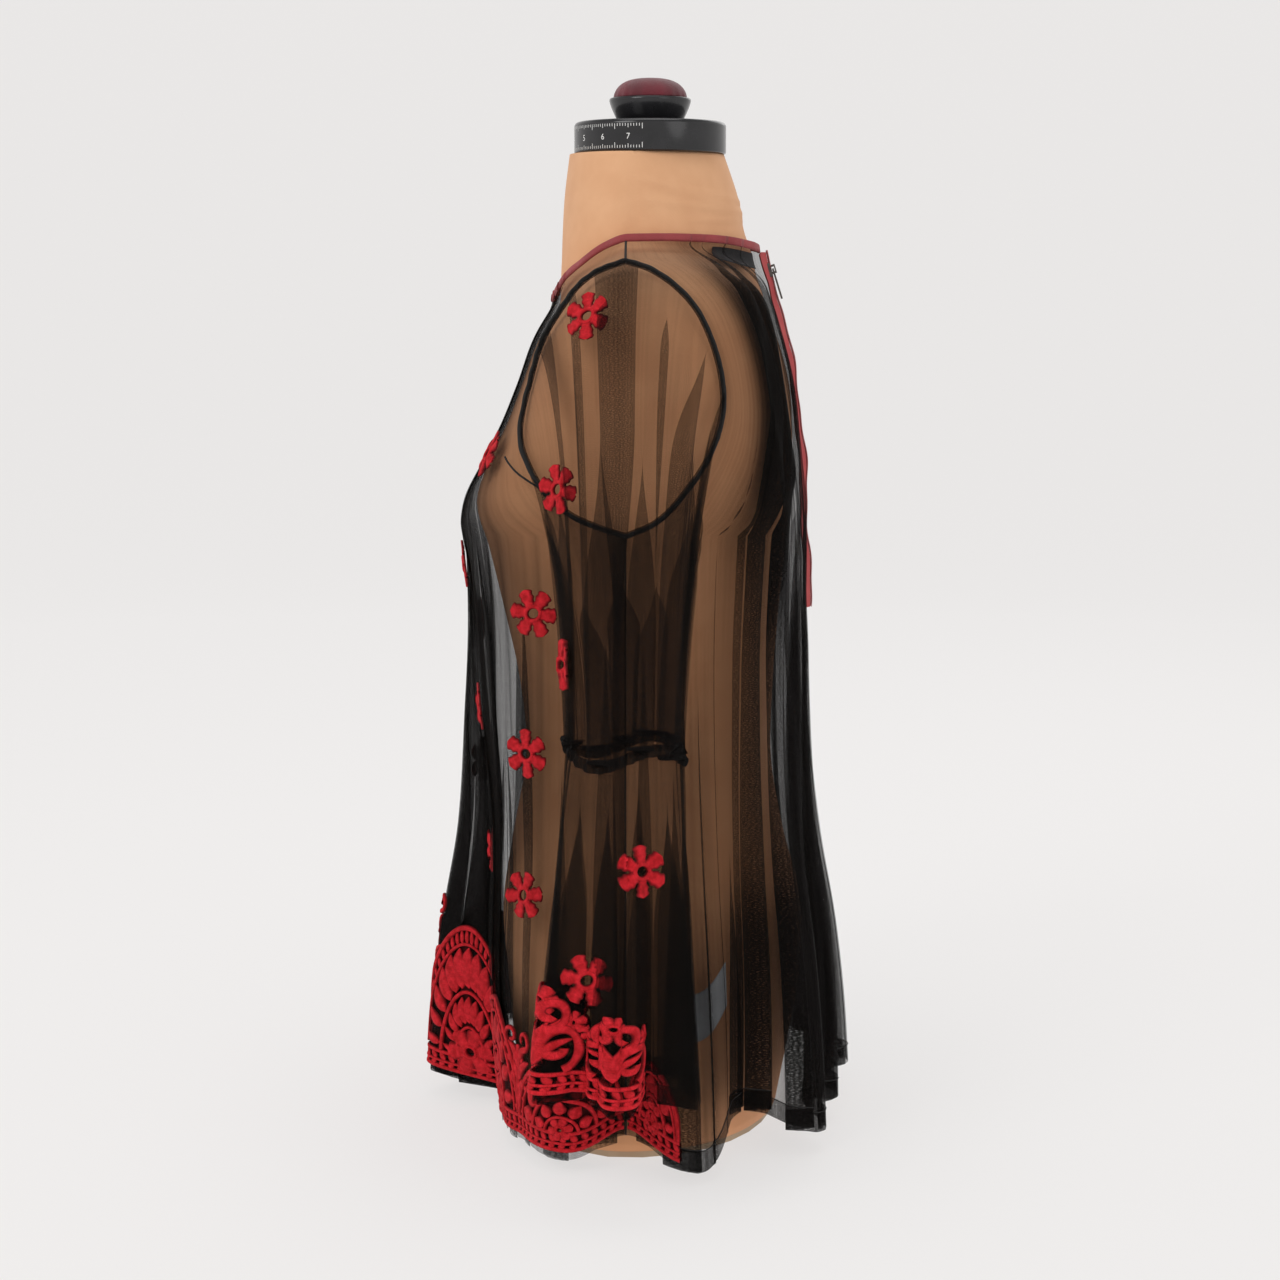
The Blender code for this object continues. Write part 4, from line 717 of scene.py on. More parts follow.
def joined(name, parts, finish, *nodes, slot, smooth=True):
    """One piece made of several parts' points, faces and UVs."""
    points, faces, uvs = [], [], []
    start = 0
    for p, f, uv in parts:
        points.append(p)
        uvs.append(uv)
        faces += [[i + start for i in face] for face in f.tolist()]
        start += len(p)
    made = mesh_object(name, np.concatenate(points), faces, finish, np.concatenate(uvs), smooth)
    ride(made, *nodes, slot=slot)


# Body of the blouse

def table_path(rows, share):
    """Points on a table of place and height, by share of its length."""
    data = np.asarray(rows, dtype=float)
    length = lengths_along(data * (QUARTER_LENGTH, 1.0))
    return np.stack([smooth_curve(length / length[-1], data[:, k], share) for k in (0, 1)], -1)


def quarter_top(places, shares, armhole, neckline, centre):
    """Places and heights from the underarm up to the neck, row by row."""
    neck = np.asarray(neckline)
    shoulder = np.array(armhole[-1])
    corner = neck[0] if centre else neck[-1]
    centre_top = neck[-1, 1] if centre else neck[0, 1]
    u = np.abs(places - centre)[None, :, None]
    v = shares[:, None, None]
    flat = np.ones_like(places)
    low = np.stack((places, flat * UNDERARM_Z), 1)[None]
    curve = neck if centre else np.concatenate((neck[1:2] * (-1, 1), neck))
    top = np.stack((places, smooth_curve(curve[:, 0], curve[:, 1], places)), 1)[None]
    arm = table_path(armhole, np.minimum(shares / ARMHOLE_SHARE, 1))[:, None]
    past = np.clip((v - ARMHOLE_SHARE) / (1 - ARMHOLE_SHARE), 0, 1)
    side = np.where(v <= ARMHOLE_SHARE, arm, shoulder + (corner - shoulder) * past)
    middle_low, middle_top = np.array((centre, UNDERARM_Z)), np.array((centre, centre_top))
    middle = middle_low + (middle_top - middle_low) * v
    sheet = (1 - v) * low + v * top + (1 - u) * middle + u * side
    sheet = sheet - (1 - u) * ((1 - v) * middle_low + v * middle_top)
    sheet = sheet - u * ((1 - v) * np.array((1.0, UNDERARM_Z)) + v * corner)
    near = np.exp(-(((v - ARMHOLE_SHARE) / SHOULDER_SPREAD) ** 2))
    bump = SHOULDER_RISE * np.sqrt(np.maximum(1 - u, 0)) * u**3 * near
    sheet[..., 1:] += bump
    return sheet


# How quickly the columns above the underarm straighten away from the armhole
COLUMN_BEND = 1.1


def body_panel(first, last):
    """A body panel's grid from its hem up, with its normals, places, plain grid and density."""
    count = round((last - first) / PLACE_STEP)
    places = np.linspace(first, last, count + 1)
    shares = np.arange(SKIRT_ROWS + 1) / SKIRT_ROWS
    low = np.stack(np.broadcast_arrays(
        places[None], hem_height(places)[None] * (1 - shares[:, None]) + UNDERARM_Z * shares[:, None]
    ), -1)
    shares = np.arange(1, TOP_ROWS + 1) / TOP_ROWS
    tops = []
    for start in range(round(first), round(last)):
        back = start in (-2, 1)
        mine = places[(places >= start - 1e-9) & (places <= start + 1 + 1e-9)]
        if tops:
            mine = mine[1:]
        part = quarter_top(
            np.abs(mine), shares, ARMHOLE_BACK if back else ARMHOLE_FRONT,
            NECK_BACK if back else NECK_FRONT, 2.0 if back else 0.0,
        )
        part[..., 0] *= -1 if start < 0 else 1
        tops.append(part)
    at = np.concatenate((low, np.concatenate(tops, 1)), 0)
    off_centre = np.where(np.abs(places) > 1, 2 - np.abs(places), np.abs(places))
    at[..., 0] = places + (at[..., 0] - places) * off_centre**COLUMN_BEND
    column = at[..., 0] + (places - at[..., 0]) * (1 - off_centre**8)
    grid = body_points(at[..., 0], at[..., 1], column=column)
    plain = body_points(at[..., 0], at[..., 1], pleated=False)
    dense = ridges(GATHERED, column, at[..., 1])
    return {"grid": grid, "normal": grid_normals(grid), "places": places, "plain": plain, "dense": dense}


def surface_tree(grid):
    points = grid.reshape(-1, 3)
    return BVHTree.FromPolygons(points.tolist(), grid_quads(*grid.shape[:2]).tolist())


def net_sheet(name, grid, rows_up=0, normal=None, around=False, dense=None, **cut):
    """A panel of net with its turned hem."""
    if rows_up:
        grid = with_hem(grid, normal, rows_up)
        if dense is not None:
            dense = np.concatenate((dense[:HEM_ROWS + 1], dense), 0)
    made = grid_object(f"{name}_net", grid, NET, around, dense)
    ride(made, name, slot="net")


def build_body():
    panels = {}
    for name, first, last, flat, area in (
        ("front_panel", -1, 1, (1.10, 0.66), 0.56),
        ("back_left", 1, 2, (0.62, 0.66), 0.32),
        ("back_right", -2, -1, (0.62, 0.66), 0.32),
    ):
        panels[name] = panel = body_panel(first, last)
        net_sheet(name, panel["grid"], HEM_LINE, panel["normal"], dense=panel["dense"],
                  flat=flat, area=area, rests_on=["form_torso"])
    return panels


# Sleeves

SLEEVE_STAND = 0.0027
SLEEVE_AXIS_X = 0.205
SLEEVE_COLUMNS = 360
SLEEVE_ROWS = 60
BELL_COLUMNS = 380
BELL_ROWS = 36
BELL_HEM_TURN = 0.012
# The elbow band's lines, by height and how far each stands out
ELBOW_LINES = ((-0.0042, 0.0010), (-0.002, 0.0022), (0.0, 0.0026), (0.002, 0.0022), (0.0042, 0.0010))
ELBOW_COLUMNS = 180


def gathers(turn, count, seed):
    """Uneven small waves round a gathered edge, from -1 to 1."""
    rng = np.random.default_rng(seed)
    phase = turn * count
    for k in (1, 2, 3, 5):
        phase = phase + rng.uniform(0.5, 1.4) * np.sin(k * turn + rng.uniform(0, 2 * math.pi))
    return np.sin(phase)


def armhole_table(side):
    """The armhole seam from the shoulder, forward and down, then up the back."""
    share = np.linspace(0, 1, 181)
    front = table_path(ARMHOLE_FRONT, 1 - share)
    back = table_path(ARMHOLE_BACK, share)[1:]
    path = np.concatenate((front, back)) * (side, 1)
    place, z = path[:, 0], path[:, 1]
    points = body_points(place, z)
    across = body_points(place + 0.012, z) - body_points(place - 0.012, z)
    rise = body_points(place, z + 0.003) - body_points(place, z - 0.003)
    away = unit(np.cross(across, rise))
    away = (away + np.roll(away, 3, 0) + np.roll(away, -3, 0)) / 3
    return points, unit(unit(away) + (0.6 * side, 0, 0)), unit(away)


# Pleats of the sleeve: turn from the shoulder forward, width, both in degrees,
# depth, and how far down it starts, is full and ends
SLEEVE_PLEATS = np.array((
    (6, 22, 0.0040, -0.30, 0.00, 1.00), (-60, 44, 0.0050, -0.10, 0.80, 1.60),
    (40, 6, 0.0015, -0.10, 0.10, 1.60), (66, 9, 0.0020, -0.20, 0.05, 1.60),
    (-28, 5, 0.0012, 0.15, 0.30, 0.90), (-92, 7, 0.0015, -0.20, 0.05, 1.60),
    (100, 24, 0.0040, 0.25, 0.60, 1.60), (126, 20, 0.0040, 0.10, 0.50, 1.60),
    (152, 26, 0.0040, 0.30, 0.70, 1.60), (178, 20, 0.0040, 0.15, 0.50, 1.60),
    (204, 24, 0.0040, 0.25, 0.60, 1.60), (230, 18, 0.0040, 0.10, 0.45, 1.60),
    (256, 22, 0.0040, 0.20, 0.60, 1.60), (-16, 24, 0.0040, 0.48, 0.84, 1.60),
    (22, 26, 0.0040, 0.42, 0.80, 1.60), (78, 18, 0.0035, 0.40, 0.75, 1.60),
))
SLEEVE_PLEATS[:, :2] = np.radians(SLEEVE_PLEATS[:, :2])
# Pleats of the bell, in the same columns but with turns and widths as shares
BELL_PLEATS = (
    (0.04, 0.055, 0.0045, 0.00, 0.60, 2.0), (0.125, 0.050, 0.0040, 0.05, 0.50, 2.0),
    (0.21, 0.055, 0.0045, 0.00, 0.60, 2.0), (0.29, 0.050, 0.0040, 0.10, 0.60, 2.0),
    (0.375, 0.055, 0.0040, 0.00, 0.50, 2.0), (0.46, 0.050, 0.0035, 0.05, 0.60, 2.0),
    (0.54, 0.050, 0.0035, 0.00, 0.60, 2.0), (0.625, 0.055, 0.0040, 0.10, 0.60, 2.0),
    (0.71, 0.050, 0.0040, 0.00, 0.50, 2.0), (0.79, 0.055, 0.0045, 0.05, 0.60, 2.0),
    (0.875, 0.050, 0.0040, 0.00, 0.50, 2.0), (0.955, 0.050, 0.0040, 0.05, 0.60, 2.0),
)


def sleeve_surface(turn, v, seam, side, pleated=True):
    """Points of a sleeve, v from 0 at the armhole to 1 at the elbow."""
    points, away, _ = seam
    shift, extra = pleat_moves(turn, v, SLEEVE_PLEATS if pleated else (), 2 * math.pi)
    at = (turn + shift) % (2 * math.pi)
    index = at / (2 * math.pi) * (len(points) - 1)
    table = np.concatenate((points + away * SLEEVE_STAND, away), 1)[None]
    found = bilinear(np.repeat(table, 2, 0), np.zeros_like(index), index)
    start = found[..., :3]
    over = (1 + np.cos(at)) / 2
    end_z = ELBOW_Z - ELBOW_DIP * np.sin(3 * at)
    end_x = side * (ELBOW_CENTRE[0] + ELBOW_RADII[0] * np.cos(at))
    end_y = ELBOW_CENTRE[1] - ELBOW_RADII[1] * np.sin(at)
    fall = v ** (1 + 0.6 * over)
    out = 1 - (1 - v) ** (1 + 0.9 * over)
    along = 1 - (1 - v) ** 1.8
    x = start[..., 0] + (end_x - start[..., 0]) * out
    y = start[..., 1] + (end_y - start[..., 1]) * along
    z = start[..., 2] + (end_z - start[..., 2]) * fall
    seed = 5 if side > 0 else 8
    small = gathers(at, 26, seed) * (0.0011 * np.exp(-((v / 0.16) ** 2)) + 0.0015 * v**3)
    large = gathers(at, 13, seed + 1) * 0.0028 * np.sin(np.pi * np.clip(v, 0, 1)) ** 0.7
    lift = extra + small * np.clip(v / 0.03, 0, 1) + large
    flat = np.stack((x - side * SLEEVE_AXIS_X, y - AXIS_Y, 0 * x), -1)
    away = unit(flat) * (1 - over * (1 - v))[..., None] + found[..., 3:] * (over * (1 - v))[..., None]
    return np.stack((x, y, z), -1) + unit(away) * lift[..., None]


def bell_surface(place, v, side, pleated=True):
    """Points of a bell, v from 0 at the elbow to 1 at the hem."""
    shift, extra = pleat_moves(place, v, BELL_PLEATS if pleated else (), 1.0)
    place = place + shift
    spread = v**0.85
    cx, cy = (ELBOW_CENTRE[k] + (BELL_CENTRE[k] - ELBOW_CENTRE[k]) * spread for k in (0, 1))
    rx, ry = (ELBOW_RADII[k] + (BELL_RADII[k] - ELBOW_RADII[k]) * spread for k in (0, 1))
    turn = 2 * math.pi * place
    lean = 0.055 * v**1.2 * np.sin(2 * math.pi * place * 6 + 0.8)
    i, share = fold_share((place + lean / 2 / math.pi) % 1.0, BELL_FOLDS)
    fold, dip = (BELL_FOLDS[i, k] * (1 - share) + BELL_FOLDS[i + 1, k] * share for k in (1, 2))
    seed = 21 if side > 0 else 24
    small = gathers(turn, 30, seed) * 0.0013 * np.exp(-((v / 0.25) ** 2))
    waves = gathers(turn, 19, seed + 1) * 0.0022 * v**0.6
    out = fold * v**1.1 + small + waves + extra
    top = ELBOW_Z - ELBOW_DIP * np.sin(3 * turn) - 0.0005
    x = side * (cx + (rx + out) * np.cos(turn))
    y = cy - (ry + out) * np.sin(turn)
    return np.stack((x, y, top + (BELL_HEM_Z + dip - top) * v), -1)


def build_sleeves():
    sleeves = {}
    for word, side in SIDES:
        seam = armhole_table(side)
        turn = full_turn(SLEEVE_COLUMNS)
        v = np.linspace(1, 0, SLEEVE_ROWS + 1)
        turns, shares = np.meshgrid(turn, v)
        grid = sleeve_surface(turns, shares, seam, side)
        grid = grid[:, ::-1] if side > 0 else grid
        net_sheet(f"sleeve_{word}", grid, around=True, flat=(0.66, 0.34), area=0.190,
                  rests_on=["front_panel"])
        sleeves[f"plain_sleeve_{word}"] = sleeve_surface(turns, shares, seam, side, pleated=False)
        place = np.linspace(0, 1, BELL_COLUMNS, endpoint=False)
        v = np.linspace(1, 0, BELL_ROWS + 1)
        places, shares = np.meshgrid(place, v)
        bell = bell_surface(places, shares, side)
        bell = bell[:, ::-1] if side > 0 else bell
        hem_rows = BELL_HEM_TURN / (ELBOW_Z - BELL_HEM_Z) * BELL_ROWS
        net_sheet(f"bell_{word}", bell, hem_rows, grid_normals(bell, True), True,
                  flat=(0.75, 0.25), area=0.165, rests_on=[f"sleeve_{word}_net"])
        sleeves[f"plain_bell_{word}"] = bell_surface(places, shares, side, pleated=False)
        build_elbow(word, side, seam)
        sleeves[f"seam_{word}"] = seam
    return sleeves


def build_elbow(word, side, seam):
    """The gathered band at the elbow, puckered and raised most along its middle lines."""
    turn = full_turn(ELBOW_COLUMNS)
    lines = []
    for height, lift in ELBOW_LINES:
        if height <= 0:
            line = bell_surface(turn / 2 / math.pi, 0 * turn - height / (ELBOW_Z - BELL_HEM_Z), side)
        else:
            line = sleeve_surface(turn, 0 * turn + 1 - height / 0.2, seam, side)
        line[:, 2] = ELBOW_Z - ELBOW_DIP * np.sin(3 * turn) + height
        away = unit(line - (side * ELBOW_CENTRE[0], ELBOW_CENTRE[1], ELBOW_Z)) * (1, 1, 0)
        pucker = gathers(turn, 34, 40) * 0.0006
        lines.append(line + away * (lift + pucker)[:, None])
    grid = np.array(lines)
    grid = grid[:, ::-1] if side > 0 else grid
    made = grid_object(f"elbow_gathers_{word}", grid, NET_BAND, True)
    ride(made, f"elbow_band_{word}", slot="net_band")


# Lace in the flat, raised on the cloth

# How far the lace's raised stitches and the dark sheet of painted shade under them stand off the cloth
LACE_LIFT = 0.0022
SHADE_GROUND_LIFT = 0.0012


def stroke(points, width, height, place, across=7, closed=False):
    """Raised stitching along flat points; place turns flat points and lift into space."""
    points = np.asarray(points, dtype=float)
    if closed:
        points = np.concatenate((points, points[:1]))
    along = unit(np.gradient(points, axis=0))
    if closed:
        along[0] = along[-1] = unit(points[1] - points[-2])
    side = np.stack((-along[:, 1], along[:, 0]), 1)
    count = len(points)
    width = np.broadcast_to(np.asarray(width, dtype=float), (count,))
    height = np.broadcast_to(np.asarray(height, dtype=float), (count,))
    turn = np.linspace(0, math.pi, across)
    flat = points[:, None] + side[:, None] * (width / 2)[:, None, None] * np.cos(turn)[None, :, None]
    lift = LACE_LIFT + height[:, None] * np.sin(turn)[None] ** 0.7
    made = place(flat[..., 0], flat[..., 1], lift)
    u = np.repeat(lengths_along(points)[:, None], across, 1)
    # V runs across the stroke, so that the lace's material paints shade at its edges
    v = np.repeat(EDGE_V * np.cos(turn)[None], count, 0)
    uv = np.stack((u, v), -1).reshape(-1, 2)
    return made.reshape(-1, 3), grid_quads(count, across), uv


def leaf(start, end, width, bend, place, height=0.0016, steps=12):
    """A petal or leaf as one fat stroke with pointed ends."""
    start, end = np.asarray(start, dtype=float), np.asarray(end, dtype=float)
    t = np.linspace(0, 1, steps)
    side = np.array((-(end - start)[1], (end - start)[0]))
    line = start + (end - start) * t[:, None] + side * (bend * np.sin(np.pi * t))[:, None]
    swell = np.sin(np.pi * t**0.8) ** 0.75
    return stroke(line, np.maximum(width * swell, 0.0006), height * (0.5 + 0.5 * swell), place)


def arc(centre, radii, first, last, steps):
    a = np.radians(np.linspace(first, last, steps))
    return np.stack((centre[0] + radii[0] * np.cos(a), centre[1] + radii[1] * np.sin(a)), 1)


def scroll(centre, radius, start, turns, way, steps=34):
    """A spiral that winds in from its outer end."""
    t = np.linspace(0, 1, steps)
    a = math.radians(start) + way * 2 * math.pi * turns * t
    r = radius * (1 - 0.78 * t)
    return np.stack((centre[0] + r * np.cos(a), centre[1] + r * np.sin(a)), 1)


def flat_ground(s, t, place):
    """A flat dark sheet of painted shade under the raised stitches."""
    made = place(s, t, 0 * s + SHADE_GROUND_LIFT)
    return made.reshape(-1, 3), grid_quads(*s.shape), np.stack((s, 0 * t), -1).reshape(-1, 2)


def grounds(first, last, heights, foot, place):
    """The painted shade under a border: a dark sheet over its band and the inside of each arch."""
    parts = [flat_ground(*np.meshgrid(np.linspace(first, last, 260), np.linspace(0.002, foot, 4)), place)]
    half = (last - first) / len(heights) / 2
    turn = np.radians(np.linspace(1, 179, 34))
    share = np.linspace(0.05, 0.95, 8)[:, None]
    for k, height in enumerate(heights):
        s = first + half * (2 * k + 1) + half * share * np.cos(turn)
        parts.append(flat_ground(s, foot + height * share * np.sin(turn), place))
    return parts


def blossom(centre, radius, count, turn, place, height=0.0020):
    """A small round flower: blunt petals about a raised ring."""
    centre = np.asarray(centre, dtype=float)
    parts = []
    for k in range(count):
        a = math.radians(turn) + 2 * math.pi * k / count
        way = np.array((math.cos(a), math.sin(a)))
        t = np.linspace(0, 1, 7)
        line = centre + way * radius * (0.28 + 0.72 * t)[:, None]
        width = radius * 5.4 / count * (0.62 + 0.5 * t) * np.sqrt(np.maximum(1.03 - t**6, 0))
        parts.append(stroke(line, np.maximum(width, 0.0008), height * (1 - 0.3 * t), place, across=6))
    ring = arc(centre, (radius * 0.26, radius * 0.26), 0, 330, 10)
    parts.append(stroke(ring, radius * 0.20, height * 1.2, place, across=5, closed=True))
    return parts


def band(first, last, foot, place):
    """The dense band along a border's foot: cords and slanted stitches."""
    parts = []
    span = np.linspace(first, last, 260)
    for height, width in ((0.0030, 0.0036), (foot * 0.52, 0.0024), (foot, 0.0034)):
        parts.append(stroke(np.stack((span, np.full(260, height)), 1), width, 0.0019, place, across=6))
    for low, high, lean in ((0.0036, foot * 0.5, 0.0022), (foot * 0.54, foot, -0.0022)):
        count = round((last - first) / 0.0072)
        for k in range(count):
            middle = first + (last - first) * (k + 0.5) / count
            ends = (middle - lean, low), (middle + lean, high)
            parts.append(leaf(*ends, 0.0052, 0.0, place, steps=6))
    return parts


def scallop(centre, foot, half, height, place):
    """One arch of the border: cords, two fans of petals and a flower at its foot."""
    middle = np.array((centre, foot))
    parts = []
    for share, width, lift in (
        (0.97, 0.0046, 0.0026), (0.85, 0.0030, 0.0022), (0.50, 0.0034, 0.0024), (0.24, 0.0026, 0.0022),
    ):
        line = arc((centre, foot), (half * share, height * share), 2, 178, 48)
        parts.append(stroke(line, width, lift, place, across=6))
    petals = max(7, round(height / 0.0085))
    for count, inner, outer, wide in ((petals, 0.53, 0.83, 0.98), (max(5, petals - 2), 0.27, 0.47, 0.92)):
        for k in range(count):
            a = math.pi * (k + 0.5) / count
            way = np.array((half * math.cos(a), height * math.sin(a)))
            width = math.pi * np.linalg.norm(way) * (inner + outer) / 2 / count * wide
            parts.append(leaf(middle + way * inner, middle + way * outer, width, 0.06, place, 0.0024))
    for k in range(petals * 2):
        a = math.pi * (k + 0.5) / petals / 2
        way = np.array((half * math.cos(a), height * math.sin(a)))
        spot = middle + way * 0.91
        parts.append(leaf(spot - way * 0.06, spot + way * 0.06, 0.0050, 0.0, place, steps=6))
    parts += blossom(middle + (0, height * 0.06), height * 0.17, 6, 12, place, 0.0028)
    return parts


def sprig(stem, tall, place):
    """Leaves and curls that stand between two arches."""
    parts = [leaf(stem, stem + (0.0, tall * 0.72), 0.0090, 0.0, place, 0.0024)]
    for way in (-1, 1):
        for share, out, rise in ((0.20, 0.015, 0.20), (0.42, 0.017, 0.26), (0.62, 0.014, 0.28)):
            root = stem + (0, tall * share)
            tip = root + (way * out, tall * rise + 0.006)
            parts.append(leaf(root, tip, 0.0085, way * 0.16, place, 0.0022))
        curl = scroll(stem + (way * 0.009, tall * 0.98 + 0.006), 0.0085, 250, 1.0, way)
        parts.append(stroke(curl, 0.0036, 0.0022, place, across=6))
    return parts + blossom(stem + (0, tall * 0.84), 0.0082, 6, 30, place)


def border(first, last, heights, foot, place):
    """A lace border of arches over a band, with sprigs between them."""
    parts = band(first, last, foot, place)
    half = (last - first) / len(heights) / 2
    for k, height in enumerate(heights):
        centre = first + half * (2 * k + 1)
        parts += scallop(centre, foot, half, height, place)
        if k:
            parts += sprig(np.array((centre - half, foot + 0.004)), min(height, heights[k - 1]), place)
    return parts


def scroll_border(first, last, heights, foot, place):
    """A lighter border: scrolls in pairs with leaves and small flowers over a band."""
    parts = band(first, last, foot, place)
    half = (last - first) / len(heights) / 2
    for k, height in enumerate(heights):
        centre = first + half * (2 * k + 1)
        for way in (-1, 1):
            for out, rise, size, start in ((0.42, 0.34, 0.30, 280), (0.24, 0.74, 0.20, 250)):
                spot = (centre + way * half * out, foot + height * rise)
                start = start if way > 0 else 180 - start
                curl = scroll(spot, height * size, start, 1.15, way)
                parts.append(stroke(curl, height * 0.125, 0.0024, place, across=6))
            root = np.array((centre, foot + height * 0.10))
            for out, rise, bend in ((0.80, 0.32, 0.20), (0.62, 0.62, 0.16), (0.22, 0.55, 0.10)):
                tip = root + (way * half * out, height * rise)
                parts.append(leaf(root, tip, height * 0.12, way * bend, place, 0.0022))
            side = (centre + way * half * 0.80, foot + height * 0.62)
            parts += blossom(side, height * 0.15, 6, 20, place)
        parts += blossom((centre, foot + height * 0.88), height * 0.19, 6, 0, place)
    return parts


def on_grid(grid, lengths, rows_each):
    """Turns flat lengths along the hem and up into points on a grid."""
    normal = grid_normals(grid)
    columns = np.arange(grid.shape[1])

    def place(s, t, lift):
        column = np.interp(s, lengths, columns)
        row = (t + 0.004) * rows_each
        return bilinear(grid, row, column) + bilinear(normal, row, column) * lift[..., None]

    return place


FRONT_ARCHES = (0.050, 0.080, 0.108, 0.108, 0.080, 0.050)
SIDE_ARCH = (0.046,)
LACE_REACH = 1.13
LACE_ROWS = 24
LACE_TALL = 0.18
BELL_ARCHES = (0.050, 0.056, 0.044)
BELL_LACE = (-0.08, 0.45)
# The bell's row that its lace is measured along
BELL_LACE_ROW = 8
LACE_FOOT = 0.015
LACE_MARGIN = 0.004


def plain_lengths(row):
    """Lengths along a row, its small creases evened out."""
    return lengths_along(evened(row, 60))


def build_lace():
    places = np.linspace(-LACE_REACH, LACE_REACH, 560)
    shares = np.linspace(0, 1, LACE_ROWS + 1)[:, None]
    plain = body_points(places + 0 * shares, hem_height(places) + LACE_TALL * shares, pleated=False)
    lengths = plain_lengths(plain[LACE_ROWS // 3])
    place = on_grid(plain, lengths, LACE_ROWS / LACE_TALL)
    first, last = np.interp((-1, 1), places, lengths)
    gap = LACE_MARGIN / 2
    raised, shade_ground = [], []
    for start, end, heights in (
        (lengths[0], first - gap, SIDE_ARCH), (first + gap, last - gap, FRONT_ARCHES),
        (last + gap, lengths[-1], SIDE_ARCH),
    ):
        raised += border(start, end, heights, LACE_FOOT, place)
        shade_ground += grounds(start, end, heights, LACE_FOOT, place)
    joined("front_border", raised, LACE, "front_lace", slot="lace")
    # The dark sheet of painted shade under the raised lace
    joined("front_border_painted_shade", shade_ground, LACE_PAINTED_SHADE, slot="lace")
    for word, side in SIDES:
        at = np.linspace(*BELL_LACE, 160)
        places, shares = np.meshgrid(at, np.linspace(1, 0, BELL_ROWS + 1))
        plain = bell_surface(places, shares, side, pleated=False)
        plain = plain[:, ::-1] if side > 0 else plain
        lengths = plain_lengths(plain[BELL_LACE_ROW])
        place = on_grid(plain, lengths, BELL_ROWS / (ELBOW_Z - BELL_HEM_Z))
        parts = scroll_border(LACE_MARGIN, lengths[-1] - LACE_MARGIN, BELL_ARCHES, LACE_FOOT, place)
        joined(f"bell_border_{word}", parts, LACE, f"bell_lace_{word}", slot="lace")


# Flowers

FRONT_FLOWERS = (
    ("front", 0.104, 0.512, 10), ("side", -0.083, 0.402, 25), ("side", -0.088, 0.300, 5),
    ("side", -0.090, 0.196, 40), ("front", 0.048, 0.318, 15), ("front", 0.046, 0.206, 50),
    ("front", 0.030, 0.425, 0), ("front", -0.098, 0.500, 20), ("front", -0.060, 0.372, 35),
    ("front", -0.034, 0.262, 5), ("side_right", -0.088, 0.318, 15),
    ("side_right", -0.090, 0.210, 30),
)
SLEEVE_FLOWERS = (
    ("side", -0.043, 0.612, 8), ("side", -0.063, 0.493, 20), ("front", 0.222, 0.374, 12),
)
BELL_FLOWERS = (("side", -0.008, 0.240, 0), ("side", -0.044, 0.166, 22))
FLOWER_RADIUS = 0.018
FLOWER_LIFT = 0.0008
FLOWER_MIDDLE = 0.0050


def add_flower(name, tree, view, across, z, turn):
    """Six thick petals round a ring, laid on the cloth."""
    if view == "front":
        origin, way = Vector((across, -0.5, z)), Vector((0, 1, 0))
    else:
        side = -1 if view == "side_right" else 1
        origin, way = Vector((0.6 * side, across, z)), Vector((-side, 0, 0))
    centre, out, _, _ = tree.ray_cast(origin, way)
    solid_out = -np.array(way)
    out = np.array(out) if np.dot(out, solid_out) > 0 else -np.array(out)
    out = unit(out + solid_out * 0.8)
    centre = np.array(centre)
    up = unit(np.array((0.0, 0.0, 1.0)) - out * out[2])
    right = np.cross(up, out)
    spin = math.radians(turn)

    def place(s, t, lift):
        a = s * math.cos(spin) - t * math.sin(spin)
        b = s * math.sin(spin) + t * math.cos(spin)
        flat = centre + a[..., None] * right + b[..., None] * up
        shape = flat.shape[:-1]
        depth = np.zeros(shape)
        for index in np.ndindex(shape):
            hit = tree.ray_cast(Vector(flat[index] + out * 0.02), Vector(-out), 0.04)
            depth[index] = 0.02 - hit[3] if hit[0] else 0.0
        depth = np.clip(depth, -0.003, 0.003)
        return flat + out * (depth + lift + FLOWER_LIFT)[..., None]

    parts = []
    for k in range(6):
        a = math.radians(30 + 60 * k)
        way = np.array((math.cos(a), math.sin(a)))
        t = np.linspace(0, 1, 13)
        line = way * (FLOWER_MIDDLE + (FLOWER_RADIUS - FLOWER_MIDDLE) * t)[:, None]
        width = (0.0076 + 0.0058 * t) * np.sqrt(np.maximum(1.02 - t**7, 0)) * (1 + 0.10 * np.sin(17 * t))
        parts.append(stroke(line, np.maximum(width, 0.0012), 0.0025 * (1 - 0.35 * t), place, across=9))
    rim = arc((0, 0), (0.0060, 0.0052), 0, 345, 18)
    parts.append(stroke(rim, 0.0038, 0.0030, place, closed=True))
    joined(f"{name}_thread", parts, LACE, name, slot="lace")


def build_flowers(panels, sleeves):
    tree = surface_tree(panels["front_panel"]["plain"])
    for number, row in enumerate(FRONT_FLOWERS, 1):
        add_flower(f"flower_front_{number:02d}", tree, *row)
    for word, side in SIDES:
        for kind, rows in (("sleeve", SLEEVE_FLOWERS), ("bell", BELL_FLOWERS)):
            tree = surface_tree(sleeves[f"plain_{kind}_{word}"])
            for number, (view, across, z, turn) in enumerate(rows, 1):
                if side < 0:
                    turn = turn + 17
                    across = -across if view == "front" else across
                    view = "side_right" if view == "side" else view
                add_flower(f"flower_{kind}_{word}_{number}", tree, view, across, z, turn)


# Seams, binding, zip and labels

def strip(points, normal, up, width, lift):
    """A narrow band of cloth beside a seam."""
    grid = np.stack([points + up * width * k / 2 + normal * lift for k in range(3)], 1)
    return grid.reshape(-1, 3), grid_quads(*grid.shape[:2]), grid_uv(grid)


